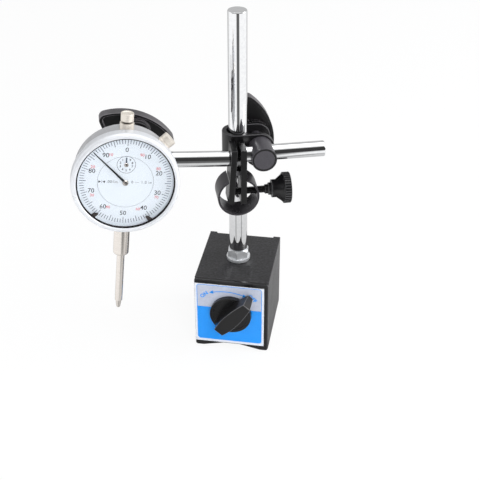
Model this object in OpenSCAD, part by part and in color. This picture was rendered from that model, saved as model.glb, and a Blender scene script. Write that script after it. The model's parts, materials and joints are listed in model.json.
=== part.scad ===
// Dial indicator on a switchable magnetic base, with a column, two rod clamps
// and a fine adjuster between the two halves of the arm.
// The origin is at the middle of the base, on the surface it stands on.
// X runs along the width of the base, the switch faces -Y and Z points up.

/* [Base] */
// Width of the base block
base_w = 50; // [46:1:60]
// Depth of the base block with its front cover
base_d = 60; // [54:1:75]
// Height of the base block
base_h = 55; // [52:1:65]
// Depth of the vee groove under the base
groove_depth = 3.1; // [1:0.1:5]
// Width of each foot beside the groove
foot_w = 5.5; // [4:0.5:9]
// Width of the flat in the middle of the groove
groove_flat = 11; // [6:0.5:16]
// Width of the two pads on the back
pad_w = 5; // [3:0.5:9]
// How far the pads stand out of the back
pad_proud = 1.5; // [0.5:0.1:3]
// Thickness of the strip between the two poles
spacer_t = 3; // [1.5:0.5:4]
// Thickness of the front cover
cover_t = 2.5; // [1.5:0.5:4]
// Thickness of the label plate
label_t = 0.5; // [0.3:0.1:1]
// Margin left of the label plate
label_left = 0.4; // [0.2:0.1:4]
// Margin right of the label plate
label_right = 2.7; // [0.5:0.1:4]
// Margin above the label plate
label_top = 3; // [0.5:0.1:5]
// Margin below the label plate
label_bottom = 4.3; // [3.5:0.1:6]

/* [Switch] */
// Height of the switch axis
switch_z = 30; // [28:0.5:32]
// Diameter of the magnet rotor
rotor_d = 27; // [22:0.5:28]
// Thickness of the plug behind the rotor
plug_t = 4; // [2:0.5:6]
// Diameter of the rotor shaft
shaft_d = 8; // [6:0.5:10]
// Diameter of the disc under the handle
knob_d = 28; // [24:0.5:30]
// Thickness of that disc
disc_t = 3; // [2:0.5:5]
// Height of the handle above the disc
handle_h = 9.5; // [6:0.5:13]
// Width of the handle at its middle
handle_w = 10.8; // [9:0.2:16]
// Width of the handle at its ends
handle_end_w = 6.4; // [4:0.2:9]
// Length of the pointing end from the axis
pointer_len = 21.5; // [16:0.5:24]
// Length of the tail from the axis
tail_len = 10.5; // [9:0.5:20]
// Turn of the pointer to the right of upright
pointer_turn = 40; // [30:1:50]

/* [Column] */
// Diameter of the column
column_d = 12; // [10:0.5:14]
// Height of the column's top above the surface
column_top = 231; // [205:1:260]
// Diameter of the stud under the column
stud_d = 8; // [6:0.5:9]
// Depth of the stud in the base
stud_depth = 9; // [6:0.5:10]
// Width across the flats of the flange nut
nut_af = 13; // [11:0.5:16]
// Height of the flange nut
nut_h = 8; // [6:0.5:10]
// Diameter of the nut's flange
flange_d = 16; // [15.5:0.5:22]
// Thickness of the nut's flange
flange_t = 1.8; // [1:0.1:3]

/* [Clamps] */
// Height of the arm above the surface
arm_z = 143; // [130:1:160]
// Turn of the arm about the column
arm_yaw = 18; // [0:1:40]
// Thickness of the clamp straps
strap_t = 2.9; // [2:0.1:3.5]
// Width of the clamp straps
strap_w = 18.5; // [17:0.5:22]
// Room between a clamped bar and the bend of its strap
strap_slack = 1.2; // [0:0.1:2]
// Distance from the column to its clamp bolt
bolt_offset = 12.8; // [12:0.1:18]
// Distance from the left rod to the indicator's clamp bolt
dial_bolt_offset = 13.9; // [12:0.1:18]
// Diameter of the clamp bolts
bolt_d = 8; // [6:0.5:8]
// Diameter of the bolt heads
head_d = 15.8; // [15:0.1:18]
// Thickness of metal in front of and behind the rod in the eyebolt
eye_wall = 4.9; // [1.8:0.1:8]
// Diameter of the washers under the wing nuts
washer_d = 16; // [13:0.5:18]
// Thickness of the washers
washer_t = 1.2; // [0.8:0.1:2]

/* [Wing nuts] */
// Radius of the outer arc
wing_r = 39; // [34:0.5:44]
// Distance from the bolt to the outer arc
wing_reach = 12; // [10:0.5:14]
// Radial width of the crescent
wing_band = 14; // [11.5:0.5:18]
// Half of the angle that the indicator's crescent spans
wing_half = 42; // [34:1:50]
// Half of the angle that the column's crescent spans
clamp_wing_half = 47; // [34:1:50]
// Thickness of the wing nut
wing_t = 7; // [5:0.5:12]
// Radius of the crescent's corners
wing_corner = 4; // [2:0.5:5]
// Width of the rim round the recess
wing_rim = 1.6; // [1:0.1:2.5]
// Depth of the recess in the face
wing_recess = 2; // [0.5:0.5:4]
// Diameter of the hub
hub_d = 18; // [15:0.5:22]
// Diameter of the brass insert
insert_d = 12; // [10:0.5:14]
// Turn of the column's wing nut
clamp_wing_turn = 79; // [60:1:90]
// Turn of the indicator's wing nut
dial_wing_turn = 24; // [0:1:40]

/* [Arm] */
// Diameter of both rods
rod_d = 10; // [8:0.5:10]
// Distance from the column axis forward to the rods
rod_y = 16; // [15.5:0.1:18]
// End of the right rod, from the column axis
right_end = 52.5; // [40:0.5:90]
// End of the left rod, from the column axis
left_end = 83; // [78:0.5:95]
// Diameter of the spigots that hold the rods
spigot_d = 7; // [5:0.5:8]

/* [Fine adjuster] */
// Thickness of the two legs
leg_t = 3.8; // [3:0.1:4]
// How far the legs reach behind the rods' axis
leg_behind = 6.6; // [5:0.1:6.7]
// How far the legs reach in front of the rods' axis
leg_ahead = 7.9; // [5:0.1:10]
// Height of the legs above the rods
leg_top = 6.2; // [5.4:0.1:8]
// Depth of the legs below the rods
leg_bottom = 31.5; // [30:0.5:33]
// Right face of the right leg, from the column axis
right_leg_x = 2.2; // [1:0.1:3]
// Gap between the legs at the fulcrum
leg_gap = 3.1; // [2.8:0.1:3.3]
// Diameter of the fulcrum pin
pin_d = 3.6; // [3.4:0.1:4]
// How far the fulcrum pin reaches in front of the rods' axis
pin_ahead = 1; // [0:0.1:5]
// Depth of the fulcrum below the right rod
pin_drop = 13; // [11:0.5:13.5]
// Height of the left rod above the fulcrum
left_rise = 10.3; // [10:0.1:12]
// Tilt of the left half of the arm
fine_tilt = 3.6; // [2:0.1:4.5]
// Outer diameter of the ring spring
ring_d = 26.5; // [25:0.1:28]
// Thickness of the ring spring's strip
ring_t = 1.2; // [0.8:0.1:1.5]
// Room between the ring spring's end and the swinging left leg
ring_room = 0.7; // [0.6:0.1:1]
// How far the ring spring reaches in front of the rods' axis
ring_ahead = 8.6; // [5:0.1:10]
// Depth of the ring's middle below the right rod
ring_drop = 26.1; // [25:0.1:27]
// Diameter of the adjusting screw
screw_d = 5; // [4:0.5:5]
// Depth of the adjusting screw below the right rod
screw_drop = 26.3; // [26:0.1:27]
// Start of the thumb knob
knob_x = 17; // [15:0.5:20]
// Diameter of the thumb knob's rim
rim_d = 20; // [16:0.5:20]
// Width of that rim
rim_w = 4.7; // [4:0.1:7]
// Diameter of the seat at the knob's start
seat_d = 6; // [5.6:0.1:7]
// Length of that seat
seat_w = 2.3; // [1:0.1:3]
// Diameter of the small collar
collar_small_d = 8; // [7:0.5:9]
// Diameter of the large collar
collar_large_d = 11.6; // [10:0.2:13]
// Length of the small collar
collar_small_w = 2; // [1:0.5:4]
// Length of the large collar
collar_w = 3; // [2:0.5:4]
// Length of the knob's cone
cone_w = 4.3; // [3:0.1:6]

/* [Indicator clamp] */
// Distance from the fulcrum to the indicator's clamp
dial_reach = 62.8; // [56:0.1:66]
// Turn of the indicator about its clamp bolt
dial_swing = 2.8; // [0:0.1:8]
// Backward lean of the indicator
dial_lean = 3.5; // [0:0.1:5]
// Thickness of the lug on the back
lug_t = 5; // [4:0.5:6]
// Radius of the lug's round end
lug_r = 4.6; // [4.2:0.1:5]
// Distance from the lug's hole to the back cover
lug_reach = 6; // [5.8:0.1:8]
// Offset of the lug to the right of the dial's middle
lug_right = 8.8; // [4:0.1:12]
// Offset of the lug above the dial's middle
lug_up = 8.6; // [4:0.1:10]
// Diameter of the lug screw
lug_screw_d = 4; // [3:0.5:4]
// Radius of the fork's round jaws
jaw_r = 5.2; // [4.8:0.1:5.4]

/* [Indicator case] */
// Outer diameter of the case
case_d = 58.4; // [58:0.1:60]
// Thickness of the case wall
case_wall = 3.2; // [2.5:0.1:3.6]
// Thickness of the back cover
back_t = 2; // [1.5:0.1:3]
// Thickness of the bezel outside the case
bezel_wall = 2.3; // [1.2:0.1:4]
// How far the bezel's lip reaches in over the case wall
bezel_inset = 0.7; // [0.5:0.1:2.5]
// Length by which the bezel reaches back over the case
bezel_grip = 1.6; // [1:0.1:3]
// Thickness of the bezel's lip in front of the crystal
bezel_lip = 0.7; // [0.5:0.1:1.5]
// Diameter of the fixed inner dial
inner_dial_d = 32.5; // [30:0.5:38]
// Thickness of the fixed inner dial with its spacer
inner_dial_t = 2.2; // [1.6:0.1:4]
// Room for the hands between the dial and the crystal
hand_room = 2.7; // [2.6:0.1:4]
// Thickness of the crystal
crystal_t = 1; // [0.6:0.1:2]
// Angle of the bezel lock above the horizontal
lock_angle = 43.7; // [35:0.1:55]
// Diameter of the bezel lock's head
lock_d = 8.5; // [6:0.5:9]
// Length of the bezel lock's head
lock_len = 5.5; // [4:0.5:7]

/* [Spindle] */
// Diameter of the stem
stem_d = 9.525; // [8:0.005:10]
// Length from the dial's middle to the stem's lower end
stem_end = 52.5; // [45:0.5:56]
// Diameter of the spindle
spindle_d = 4.75; // [4:0.05:5]
// Length from the dial's middle to the spindle's lower end
spindle_end = 83; // [82:0.1:90]
// Length of the contact point
point_len = 8.8; // [6:0.1:12]
// Length of the contact point's collar
point_collar = 3.1; // [2:0.1:4]
// Travel of the spindle
travel = 25.4; // [20:0.1:25.4]
// Diameter of the bush on top of the case
top_bush_d = 8.3; // [7:0.1:9]
// Height of the top bush above the case
top_bush_h = 4; // [3:0.1:8]
// Diameter of the stop cap
cap_d = 7.5; // [6.6:0.1:8.5]
// Height of the stop cap
cap_h = 4.6; // [3:0.1:9]
// Diameter of the neck under the stop cap
neck_d = 6; // [5.6:0.1:6.4]
// Height of the stop cap above the top bush
neck_h = 1.1; // [0.8:0.1:4]

/* [Movement] */
// Tooth module of the fine gears
fine_module = 0.25; // [0.2:0.01:0.26]
// Teeth on the drive gear and the take-up gear
wheel_teeth = 80; // [70:10:80]
// Teeth on the centre pinion
pinion_teeth = 8; // [8:1:10]
// Teeth on the rack pinion
rack_teeth = 16; // [14:1:16]
// Travel for one turn of the rack pinion
rack_turn = 25.4; // [22:0.1:25.4]
// Thickness of the movement plates
plate_t = 0.8; // [0.6:0.1:1.5]
// Margin between the two inner plates and the case
plate_margin = 2.6; // [1:0.1:4]
// Diameter of the plate pillars
pillar_d = 3; // [2:0.5:4]
// How far the main hand stops short of the bezel's opening
main_hand_short = 3.1; // [2.5:0.1:8]
// Turn of the main hand to the left of zero
main_hand_turn = 45.6; // [0:0.2:359]
// Length of the counter hand from its axis
counter_hand_len = 5; // [3:0.1:5.5]
// Angle of the left limit hand
limit_left_angle = 230; // [190:1:260]
// Angle of the right limit hand
limit_right_angle = 304; // [280:1:350]

/* [Hidden] */
$fn = 96;

// Gaps between pieces: a running fit, a face that turns on another, and plain room
fit_gap = 0.05;
seat_gap = 0.25;
room = 0.4;
// Length by which a cut runs past the face it opens
past = 1;

// Base: the block behind the front cover
block_front = -base_d / 2 + cover_t;
block_back = base_d / 2 - pad_proud;
bore_d = rotor_d + 2 * room;
groove_top_z = groove_depth;
rotor_front = block_front + room;
rotor_back = block_back - plug_t - room;
label_front = -base_d / 2 - label_t;
knob_back = label_front - seat_gap;
shaft_front = knob_back - disc_t - handle_h / 2;
// Share of the handle's width that is left halfway to its ends
handle_full = 0.84;

// Column
nut_top = base_h + seat_gap + nut_h;
nut_turn = 32;

// Clamp at the column, in the arm's frame
strap_front = column_d / 2 + fit_gap + strap_t;
head_back = strap_front + seat_gap;
eye_front = rod_y + rod_d / 2 + fit_gap + eye_wall;
washer_y = strap_front + seat_gap;
wing_y = washer_y + washer_t;
bolt_tail = wing_y + wing_t + past;

// Clamp at the left rod, measured from the rod's axis
rod_strap_front = rod_d / 2 + fit_gap + strap_t;
rod_head_back = rod_strap_front + seat_gap;
rod_washer_y = rod_strap_front + seat_gap;
rod_wing_y = rod_washer_y + washer_t;
rod_bolt_tail = rod_wing_y + wing_t + past;
head_t = 3.2;
lug_y = rod_head_back + head_t + lug_r + room;
fork_gap = lug_t + 2 * fit_gap;

// Fine adjuster
pin_x = right_leg_x - leg_t - leg_gap / 2;
leg_w = leg_behind + leg_ahead;
screw_tip = pin_x - leg_gap / 2 - (screw_drop - pin_drop) * sin(fine_tilt) + 2 * fit_gap;
knob_end = knob_x + collar_small_w + collar_w + cone_w + rim_w;

// Indicator: radii
ledge_w = 1.6;
crystal_seat = 0.7;
case_r = case_d / 2;
cavity_r = case_r - case_wall;
bezel_r = case_r + bezel_wall;
view_r = case_r - bezel_inset;
ledge_r = cavity_r + ledge_w;
crystal_r = view_r + crystal_seat;
dial_ring_r = view_r + 2 * fit_gap;

// Indicator: depths are measured forward from the back of the case
wheel_t = 0.6;
wheel_gap = 0.35;
hairspring_t = 0.3;
ledge_lip = 0.7;
gasket_t = 0.4;
gasket_lip = 0.8;
dial_t = 0.5;
hand_t = 0.3;
spindle_y = back_t + room + stem_d / 2;
rear_plate_y = back_t + 2 * room;
middle_plate_y = spindle_y + spindle_d / 2 + room;
drive_y = middle_plate_y + plate_t + wheel_gap;
takeup_y = drive_y + wheel_t + wheel_gap;
hairspring_y = takeup_y + wheel_t + seat_gap;
ledge_y = hairspring_y + hairspring_t + room;
case_depth = ledge_y + plate_t + ledge_lip;
bezel_back = case_depth - bezel_grip;
face_y = ledge_y + plate_t + inner_dial_t;
gasket_y = face_y + hand_room;
crystal_y = gasket_y + crystal_t;
dial_depth = crystal_y + bezel_lip;
limit_y = gasket_y - gasket_t - room;
main_hand_y = limit_y - 2 * hand_t - seat_gap;
counter_y = face_y + wheel_gap;
arbor_d = 1;
arbor_hole = arbor_d + 2 * fit_gap;

// Stem, bushes and stop cap
stem_chamfer = 1.2;
stem_neck_d = 8;
stem_top = bezel_r + room;
bush_bore = 6.4;
bush_len = 8;
bush_shank_d = 6.2;
bush_top = case_r + top_bush_h;
cap_foot = bush_top + neck_h;
cap_chamfer = 0.5;

// Screws that hold the back cover, and the bezel lock
cover_screw_d = 1.6;
cover_screw_len = 4;
cover_head_d = 2.6;
cover_head_t = 0.8;
cover_screw_angle = 20;
cover_spots = [for (a = [0:90:270]) polar((case_r + cavity_r) / 2, cover_screw_angle + a)];
lock_stem_d = 3;
lock_chamfer = 1;

// Teeth: heights in modules, half widths as shares of the pitch
tooth_out = 0.6;
tooth_in = 0.95;
tooth_tip = 0.1;
tooth_root = 0.25;
rack_pinion_w = 3;

// Gear train
centre_distance = fine_module * (wheel_teeth + pinion_teeth) / 2;
rack_r = rack_turn / (2 * PI);
rack_pitch = rack_turn / rack_teeth;
rack_top = 0.35;
rack_depth = 0.5;
rack_line = spindle_d / 2 - rack_top;
arbor_x = -rack_line - rack_r;
arbor_z = -sqrt(centre_distance * centre_distance - arbor_x * arbor_x);
drive_angle = atan2(arbor_z, arbor_x);
pinion_pitch = 360 / pinion_teeth;
wheel_pitch = 360 / wheel_teeth;
// Turn of the pinion that puts a gap on the line to the drive gear
pinion_turn = drive_angle + pinion_pitch / 2;
// Angle from the line to the take-up gear to the nearest pinion tooth
takeup_slip = 90 - pinion_turn - pinion_pitch * round((90 - pinion_turn) / pinion_pitch);
takeup_turn = 270 + takeup_slip * pinion_teeth / wheel_teeth + wheel_pitch / 2;
plate_r = cavity_r - plate_margin;
pillar_margin = 1;
pillar_angles = [-35, 43, 140, 185];
pillar_spots = [for (a = pillar_angles) polar(plate_r - pillar_margin - pillar_d / 2, a)];

// Spring, guide and post beside the spindle
spring_x = 8;
coil_d = 2.6;
guide_z = -6;
spring_foot_z = -17;
guide_d = 1.6;

// Frames

module arm_frame() {
  translate([0, 0, arm_z]) rotate([0, 0, arm_yaw]) children();
}

module fine_frame() {
  arm_frame() translate([pin_x, -rod_y, -pin_drop]) rotate([0, fine_tilt, 0]) children();
}

module rod_clamp_frame() {
  fine_frame() translate([-dial_reach, 0, left_rise]) children();
}

module clevis_frame() {
  rod_clamp_frame() translate([0, 0, dial_bolt_offset]) rotate([0, dial_swing, 0]) children();
}

module dial_frame() {
  clevis_frame() translate([0, -lug_y, 0]) rotate([-dial_lean, 0, 0])
    translate([-lug_right, -lug_reach, -lug_up]) children();
}

// Shared shapes

module rod_x(d, x0, x1) {
  translate([x0, 0, 0]) rotate([0, 90, 0]) cylinder(d = d, h = x1 - x0);
}

// A round bar from depth y0 to depth y1, measured forward
module rod_front(d, y0, y1) {
  translate([0, -y0, 0]) rotate([90, 0, 0]) cylinder(d = d, h = y1 - y0);
}

module rod_z(d, z0, z1) {
  translate([0, 0, z0]) cylinder(d = d, h = z1 - z0);
}

// An outline in X and Z, as thick as the depths y0 to y1
module slab_front(y0, y1) {
  translate([0, -y0, 0]) rotate([90, 0, 0]) linear_extrude(y1 - y0) children();
}

// A ring profile of radius and depth, turned about the dial's axis
module turned_front() {
  rotate([90, 0, 0]) rotate_extrude() children();
}

module sector_band(r_in, r_out, half_angle, t) {
  rotate([0, 0, 90 - half_angle]) rotate_extrude(angle = 2 * half_angle)
    translate([r_in, 0]) square([r_out - r_in, t]);
}

// Points along an arc about a centre, from angle a0 to angle a1
function arc_points(centre, r, a0, a1, steps) =
  [for (i = [0:steps]) centre + polar(r, a0 + (a1 - a0) * i / steps)];

// The outline of a bent bar with round corners, its middle on the +Y axis
module rounded_sector(r_in, r_out, half, corner) {
  steps = 32;
  corner_steps = 8;
  outer = half - asin(corner / (r_out - corner));
  inner = half - asin(corner / (r_in + corner));
  outer_r = r_out - corner;
  inner_r = r_in + corner;
  polygon(concat(
    arc_points([0, 0], r_out, 90 - outer, 90 + outer, steps),
    arc_points(polar(outer_r, 90 + outer), corner, 90 + outer, 180 + half, corner_steps),
    arc_points(polar(inner_r, 90 + inner), corner, 180 + half, 270 + inner, corner_steps),
    arc_points([0, 0], r_in, 90 + inner, 90 - inner, steps),
    arc_points(polar(inner_r, 90 - inner), corner, 270 - inner, 360 - half, corner_steps),
    arc_points(polar(outer_r, 90 - outer), corner, 360 - half, 450 - outer, corner_steps)
  ));
}

// The wing nut's crescent, behind y = 0, with its bolt along Y
module crescent(half) {
  r_in = wing_r - wing_band;
  recess_angle = half - asin(wing_rim / r_in);
  difference() {
    union() {
      slab_front(-wing_t, 0) translate([0, wing_reach - wing_r])
        rounded_sector(r_in, wing_r, half, wing_corner);
      rod_front(hub_d, -wing_t, 0);
    }
    difference() {
      slab_front(-wing_recess, past) translate([0, wing_reach - wing_r])
        rounded_sector(r_in + wing_rim, wing_r - wing_rim, recess_angle, wing_corner - wing_rim);
      rod_front(hub_d, -wing_recess - past, 2 * past);
    }
    rod_front(insert_d, -wing_t - past, past);
  }
}

module wing_insert() {
  difference() {
    rod_front(insert_d, -wing_t, 0);
    rod_front(bolt_d + 2 * fit_gap, -wing_t - past, past);
  }
}

module bolt_washer() {
  difference() {
    rod_front(washer_d, -washer_t, 0);
    rod_front(bolt_d + 2 * fit_gap, -washer_t - past, past);
  }
}

// A strap bent round a bar along Z, with its bolt hole along Y at +X
module strap(bar_d, bolt_x) {
  inner = bar_d / 2 + fit_gap;
  outer = inner + strap_t;
  difference() {
    union() {
      translate([-strap_slack, 0, 0]) cylinder(r = outer, h = strap_w, center = true);
      translate([-strap_slack, -outer, -strap_w / 2]) cube([bolt_x + strap_slack, 2 * outer, strap_w]);
      translate([bolt_x, 0, 0]) rod_front(strap_w, -outer, outer);
    }
    translate([-strap_slack, 0, 0]) cylinder(r = inner, h = strap_w + 2 * past, center = true);
    translate([-strap_slack, -inner, -strap_w / 2 - past])
      cube([bolt_x + strap_slack + strap_w, 2 * inner, strap_w + 2 * past]);
    translate([bolt_x, 0, 0]) rod_front(bolt_d + 2 * fit_gap, -outer - past, outer + past);
  }
}

function polar(r, a) = [r * cos(a), r * sin(a)];

// A gear outline with slim straight-sided teeth, one of them on the +X axis
module gear_outline(teeth, r, outside, inside) {
  pitch = 360 / teeth;
  sides = [-tooth_root, -tooth_tip, tooth_tip, tooth_root];
  radii = [r - inside, r + outside, r + outside, r - inside];
  polygon([for (i = [0:teeth - 1], k = [0:3]) polar(radii[k], (i + sides[k]) * pitch)]);
}

module fine_outline(teeth) {
  gear_outline(teeth, fine_module * teeth / 2, tooth_out * fine_module, tooth_in * fine_module);
}

// Base

module base_outline() {
  polygon([
    [-base_w / 2, 0], [-base_w / 2 + foot_w, 0], [-groove_flat / 2, groove_top_z],
    [groove_flat / 2, groove_top_z], [base_w / 2 - foot_w, 0], [base_w / 2, 0],
    [base_w / 2, base_h], [-base_w / 2, base_h]
  ]);
}

// The whole iron block, before it is parted at the middle
module base_block() {
  difference() {
    slab_front(-base_d / 2, -block_front) base_outline();
    translate([-base_w / 2 + pad_w, block_back, -past])
      cube([base_w - 2 * pad_w, pad_proud + past, base_h + 2 * past]);
    translate([0, 0, switch_z]) rod_front(bore_d, -base_d / 2 - past, -block_front + past);
    rod_z(stud_d + 2 * fit_gap, base_h - stud_depth - room, base_h + past);
  }
}

module pole(side) {
  shift = side * (base_w / 2 + spacer_t / 2);
  intersection() {
    base_block();
    translate([shift - base_w / 2, -base_d, -past]) cube([base_w, 2 * base_d, base_h + 2 * past]);
  }
}

module pole_left() {
  color([0.09, 0.09, 0.1]) pole(-1);
}

module pole_right() {
  color([0.09, 0.09, 0.1]) pole(1);
}

module pole_spacer() {
  color([0.72, 0.6, 0.3]) intersection() {
    base_block();
    translate([-spacer_t / 2, -base_d, -past]) cube([spacer_t, 2 * base_d, base_h + 2 * past]);
  }
}

module front_cover() {
  color([0.05, 0.05, 0.055]) difference() {
    slab_front(-block_front, base_d / 2) base_outline();
    translate([0, 0, switch_z])
      rod_front(shaft_d + 2 * fit_gap, -block_front - past, base_d / 2 + past);
  }
}

module label_plate() {
  color([0.2, 0.55, 0.95]) difference() {
    translate([-base_w / 2 + label_left, label_front, label_bottom])
      cube([base_w - label_left - label_right, label_t, base_h - label_bottom - label_top]);
    translate([0, 0, switch_z])
      rod_front(shaft_d + 2 * room, base_d / 2 - past, -label_front + past);
  }
}

module rear_plug() {
  color([0.09, 0.09, 0.1]) translate([0, 0, switch_z]) difference() {
    rod_front(bore_d, -block_back, -block_back + plug_t);
    rod_front(shaft_d + 2 * fit_gap, -block_back + plug_t / 2, -block_back + plug_t + past);
  }
}

module magnet_rotor() {
  color([0.35, 0.35, 0.37]) translate([0, 0, switch_z]) difference() {
    rod_front(rotor_d, -rotor_back, -rotor_front);
    rod_front(shaft_d, -rotor_back - past, -rotor_front + past);
  }
}

module rotor_shaft() {
  color([0.7, 0.7, 0.72]) translate([0, 0, switch_z])
    rod_front(shaft_d, -block_back + plug_t / 2 + fit_gap, -shaft_front);
}

// One half of the handle's boat shape, from the axis to an end
module handle_half(length, shrink) {
  polygon([
    [-handle_w / 2 + shrink, 0], [handle_w / 2 - shrink, 0],
    [handle_full * handle_w / 2 - shrink, length / 2],
    [handle_end_w / 2 - shrink / 2, length - shrink],
    [-handle_end_w / 2 + shrink / 2, length - shrink],
    [-handle_full * handle_w / 2 + shrink, length / 2]
  ]);
}

module handle_outline(shrink) {
  handle_half(pointer_len, shrink);
  mirror([0, 1]) handle_half(tail_len, shrink);
}

module switch_knob() {
  handle_back = -knob_back + disc_t;
  slant = 0.8;
  color([0.07, 0.07, 0.075]) translate([0, 0, switch_z]) rotate([0, pointer_turn, 0]) difference() {
    union() {
      rod_front(knob_d, -knob_back, handle_back);
      slab_front(-knob_back + disc_t / 2, handle_back + handle_h - 2 * slant) handle_outline(0);
      slab_front(-knob_back + disc_t, handle_back + handle_h - slant) handle_outline(slant / 2);
      slab_front(-knob_back + disc_t, handle_back + handle_h) handle_outline(slant);
    }
    rod_front(shaft_d, -knob_back - past, -shaft_front);
  }
}

// Column

module column() {
  chamfer = 0.8;
  color([0.78, 0.79, 0.81]) {
    rod_z(stud_d, base_h - stud_depth, nut_top);
    rod_z(column_d, nut_top, column_top - chamfer);
    translate([0, 0, column_top - chamfer])
      cylinder(d1 = column_d, d2 = column_d - 2 * chamfer, h = chamfer);
  }
}

module flange_nut() {
  foot = base_h + seat_gap;
  color([0.8, 0.81, 0.82]) difference() {
    union() {
      rod_z(flange_d, foot, foot + flange_t);
      intersection() {
        translate([0, 0, foot]) rotate([0, 0, nut_turn])
          cylinder(d = nut_af / cos(30), h = nut_h, $fn = 6);
        translate([0, 0, foot]) cylinder(d1 = 2 * nut_af, d2 = nut_af, h = nut_h);
      }
    }
    rod_z(stud_d, foot - past, foot + nut_h + past);
  }
}

// Clamp at the column

module clamp_strap() {
  color([0.08, 0.08, 0.085]) arm_frame() strap(column_d, bolt_offset);
}

module clamp_eyebolt() {
  color([0.1, 0.1, 0.105]) arm_frame() translate([bolt_offset, 0, 0]) difference() {
    union() {
      rod_front(head_d, head_back, eye_front);
      rod_front(bolt_d, -bolt_tail, head_back);
    }
    translate([0, -rod_y, 0]) rod_x(rod_d + 2 * fit_gap, -head_d, head_d);
  }
}

module clamp_washer() {
  color([0.6, 0.6, 0.62]) arm_frame() translate([bolt_offset, washer_y, 0]) bolt_washer();
}

module clamp_wing() {
  color([0.07, 0.07, 0.075]) arm_frame() translate([bolt_offset, wing_y, 0])
    rotate([0, clamp_wing_turn, 0]) crescent(clamp_wing_half);
}

module clamp_insert() {
  color([0.75, 0.62, 0.3]) arm_frame() translate([bolt_offset, wing_y, 0]) wing_insert();
}

// Right half of the arm

module right_rod() {
  chamfer = 0.6;
  color([0.78, 0.79, 0.81]) arm_frame() translate([0, -rod_y, 0]) {
    rod_x(spigot_d, right_leg_x - leg_t, right_leg_x);
    rod_x(rod_d, right_leg_x, right_end - chamfer);
    translate([right_end - chamfer, 0, 0]) rotate([0, 90, 0])
      cylinder(d1 = rod_d, d2 = rod_d - 2 * chamfer, h = chamfer);
  }
}

module right_leg() {
  color([0.08, 0.08, 0.085]) arm_frame() difference() {
    translate([right_leg_x - leg_t, -rod_y - leg_ahead, -leg_bottom])
      cube([leg_t, leg_w, leg_bottom + leg_top]);
    translate([0, -rod_y, 0]) rod_x(spigot_d, right_leg_x - leg_t - past, right_leg_x + past);
    translate([0, -rod_y, -screw_drop])
      rod_x(screw_d + 2 * fit_gap, right_leg_x - leg_t - past, right_leg_x + past);
    translate([pin_x, -rod_y, -pin_drop]) rod_front(pin_d, -leg_w, leg_w);
  }
}

module fulcrum_pin() {
  color([0.5, 0.5, 0.52]) arm_frame() translate([pin_x, -rod_y, -pin_drop])
    rod_front(pin_d, -leg_behind, pin_ahead);
}

module spring_ring() {
  top = ring_d / 2 + past;
  left_face = pin_x - leg_gap / 2 - leg_t - ring_room;
  color([0.1, 0.1, 0.105]) arm_frame() translate([0, -rod_y, -ring_drop]) difference() {
    translate([pin_x, 0, 0]) difference() {
      rod_front(ring_d, -leg_behind, ring_ahead);
      rod_front(ring_d - 2 * ring_t, -leg_w, leg_w);
    }
    translate([left_face, -leg_w, 0]) cube([right_leg_x - left_face, 2 * leg_w, top]);
    translate([0, 0, ring_drop - screw_drop]) rod_x(screw_d + 2 * room, 0, ring_d);
  }
}

module thumb_screw() {
  tip_len = 1;
  color([0.1, 0.1, 0.105]) arm_frame() translate([0, -rod_y, -screw_drop]) {
    translate([screw_tip, 0, 0]) rotate([0, 90, 0])
      cylinder(d1 = screw_d / 2, d2 = screw_d, h = tip_len);
    rod_x(screw_d, screw_tip + tip_len, knob_end - rim_w / 2);
  }
}

module thumb_knob() {
  seat = knob_x - seat_w;
  step = knob_x + collar_small_w;
  cone = step + collar_w;
  rim = cone + cone_w;
  dish = 1.1;
  dish_d = 0.7 * rim_d;
  color([0.06, 0.06, 0.065]) arm_frame() translate([0, -rod_y, -screw_drop]) difference() {
    union() {
      rod_x(seat_d, seat, knob_x);
      rod_x(collar_small_d, knob_x, step);
      rod_x(collar_large_d, step, cone);
      translate([cone, 0, 0]) rotate([0, 90, 0])
        cylinder(d1 = collar_large_d, d2 = rim_d, h = cone_w);
      rod_x(rim_d, rim, knob_end);
    }
    rod_x(screw_d + 2 * fit_gap, seat - past, knob_end - rim_w / 2 + fit_gap);
    rod_x(dish_d, knob_end - dish, knob_end + past);
  }
}

// Left half of the arm

module left_leg() {
  right_face = -leg_gap / 2;
  color([0.08, 0.08, 0.085]) fine_frame() difference() {
    translate([right_face - leg_t, -leg_ahead, pin_drop - leg_bottom])
      cube([leg_t, leg_w, leg_bottom + leg_top]);
    translate([0, 0, left_rise]) rod_x(spigot_d, right_face - leg_t - past, right_face + past);
    rod_front(pin_d + 2 * fit_gap, -leg_w, leg_w);
  }
}

module left_rod() {
  chamfer = 0.6;
  inner = -leg_gap / 2;
  outer = inner - leg_t;
  far = -left_end - pin_x;
  color([0.78, 0.79, 0.81]) fine_frame() translate([0, 0, left_rise]) {
    rod_x(spigot_d, outer, inner);
    rod_x(rod_d, far + chamfer, outer);
    translate([far, 0, 0]) rotate([0, 90, 0])
      cylinder(d1 = rod_d - 2 * chamfer, d2 = rod_d, h = chamfer);
  }
}

// Clamp that holds the indicator

module rod_strap() {
  color([0.08, 0.08, 0.085]) rod_clamp_frame() rotate([0, -90, 0]) strap(rod_d, dial_bolt_offset);
}

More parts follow.
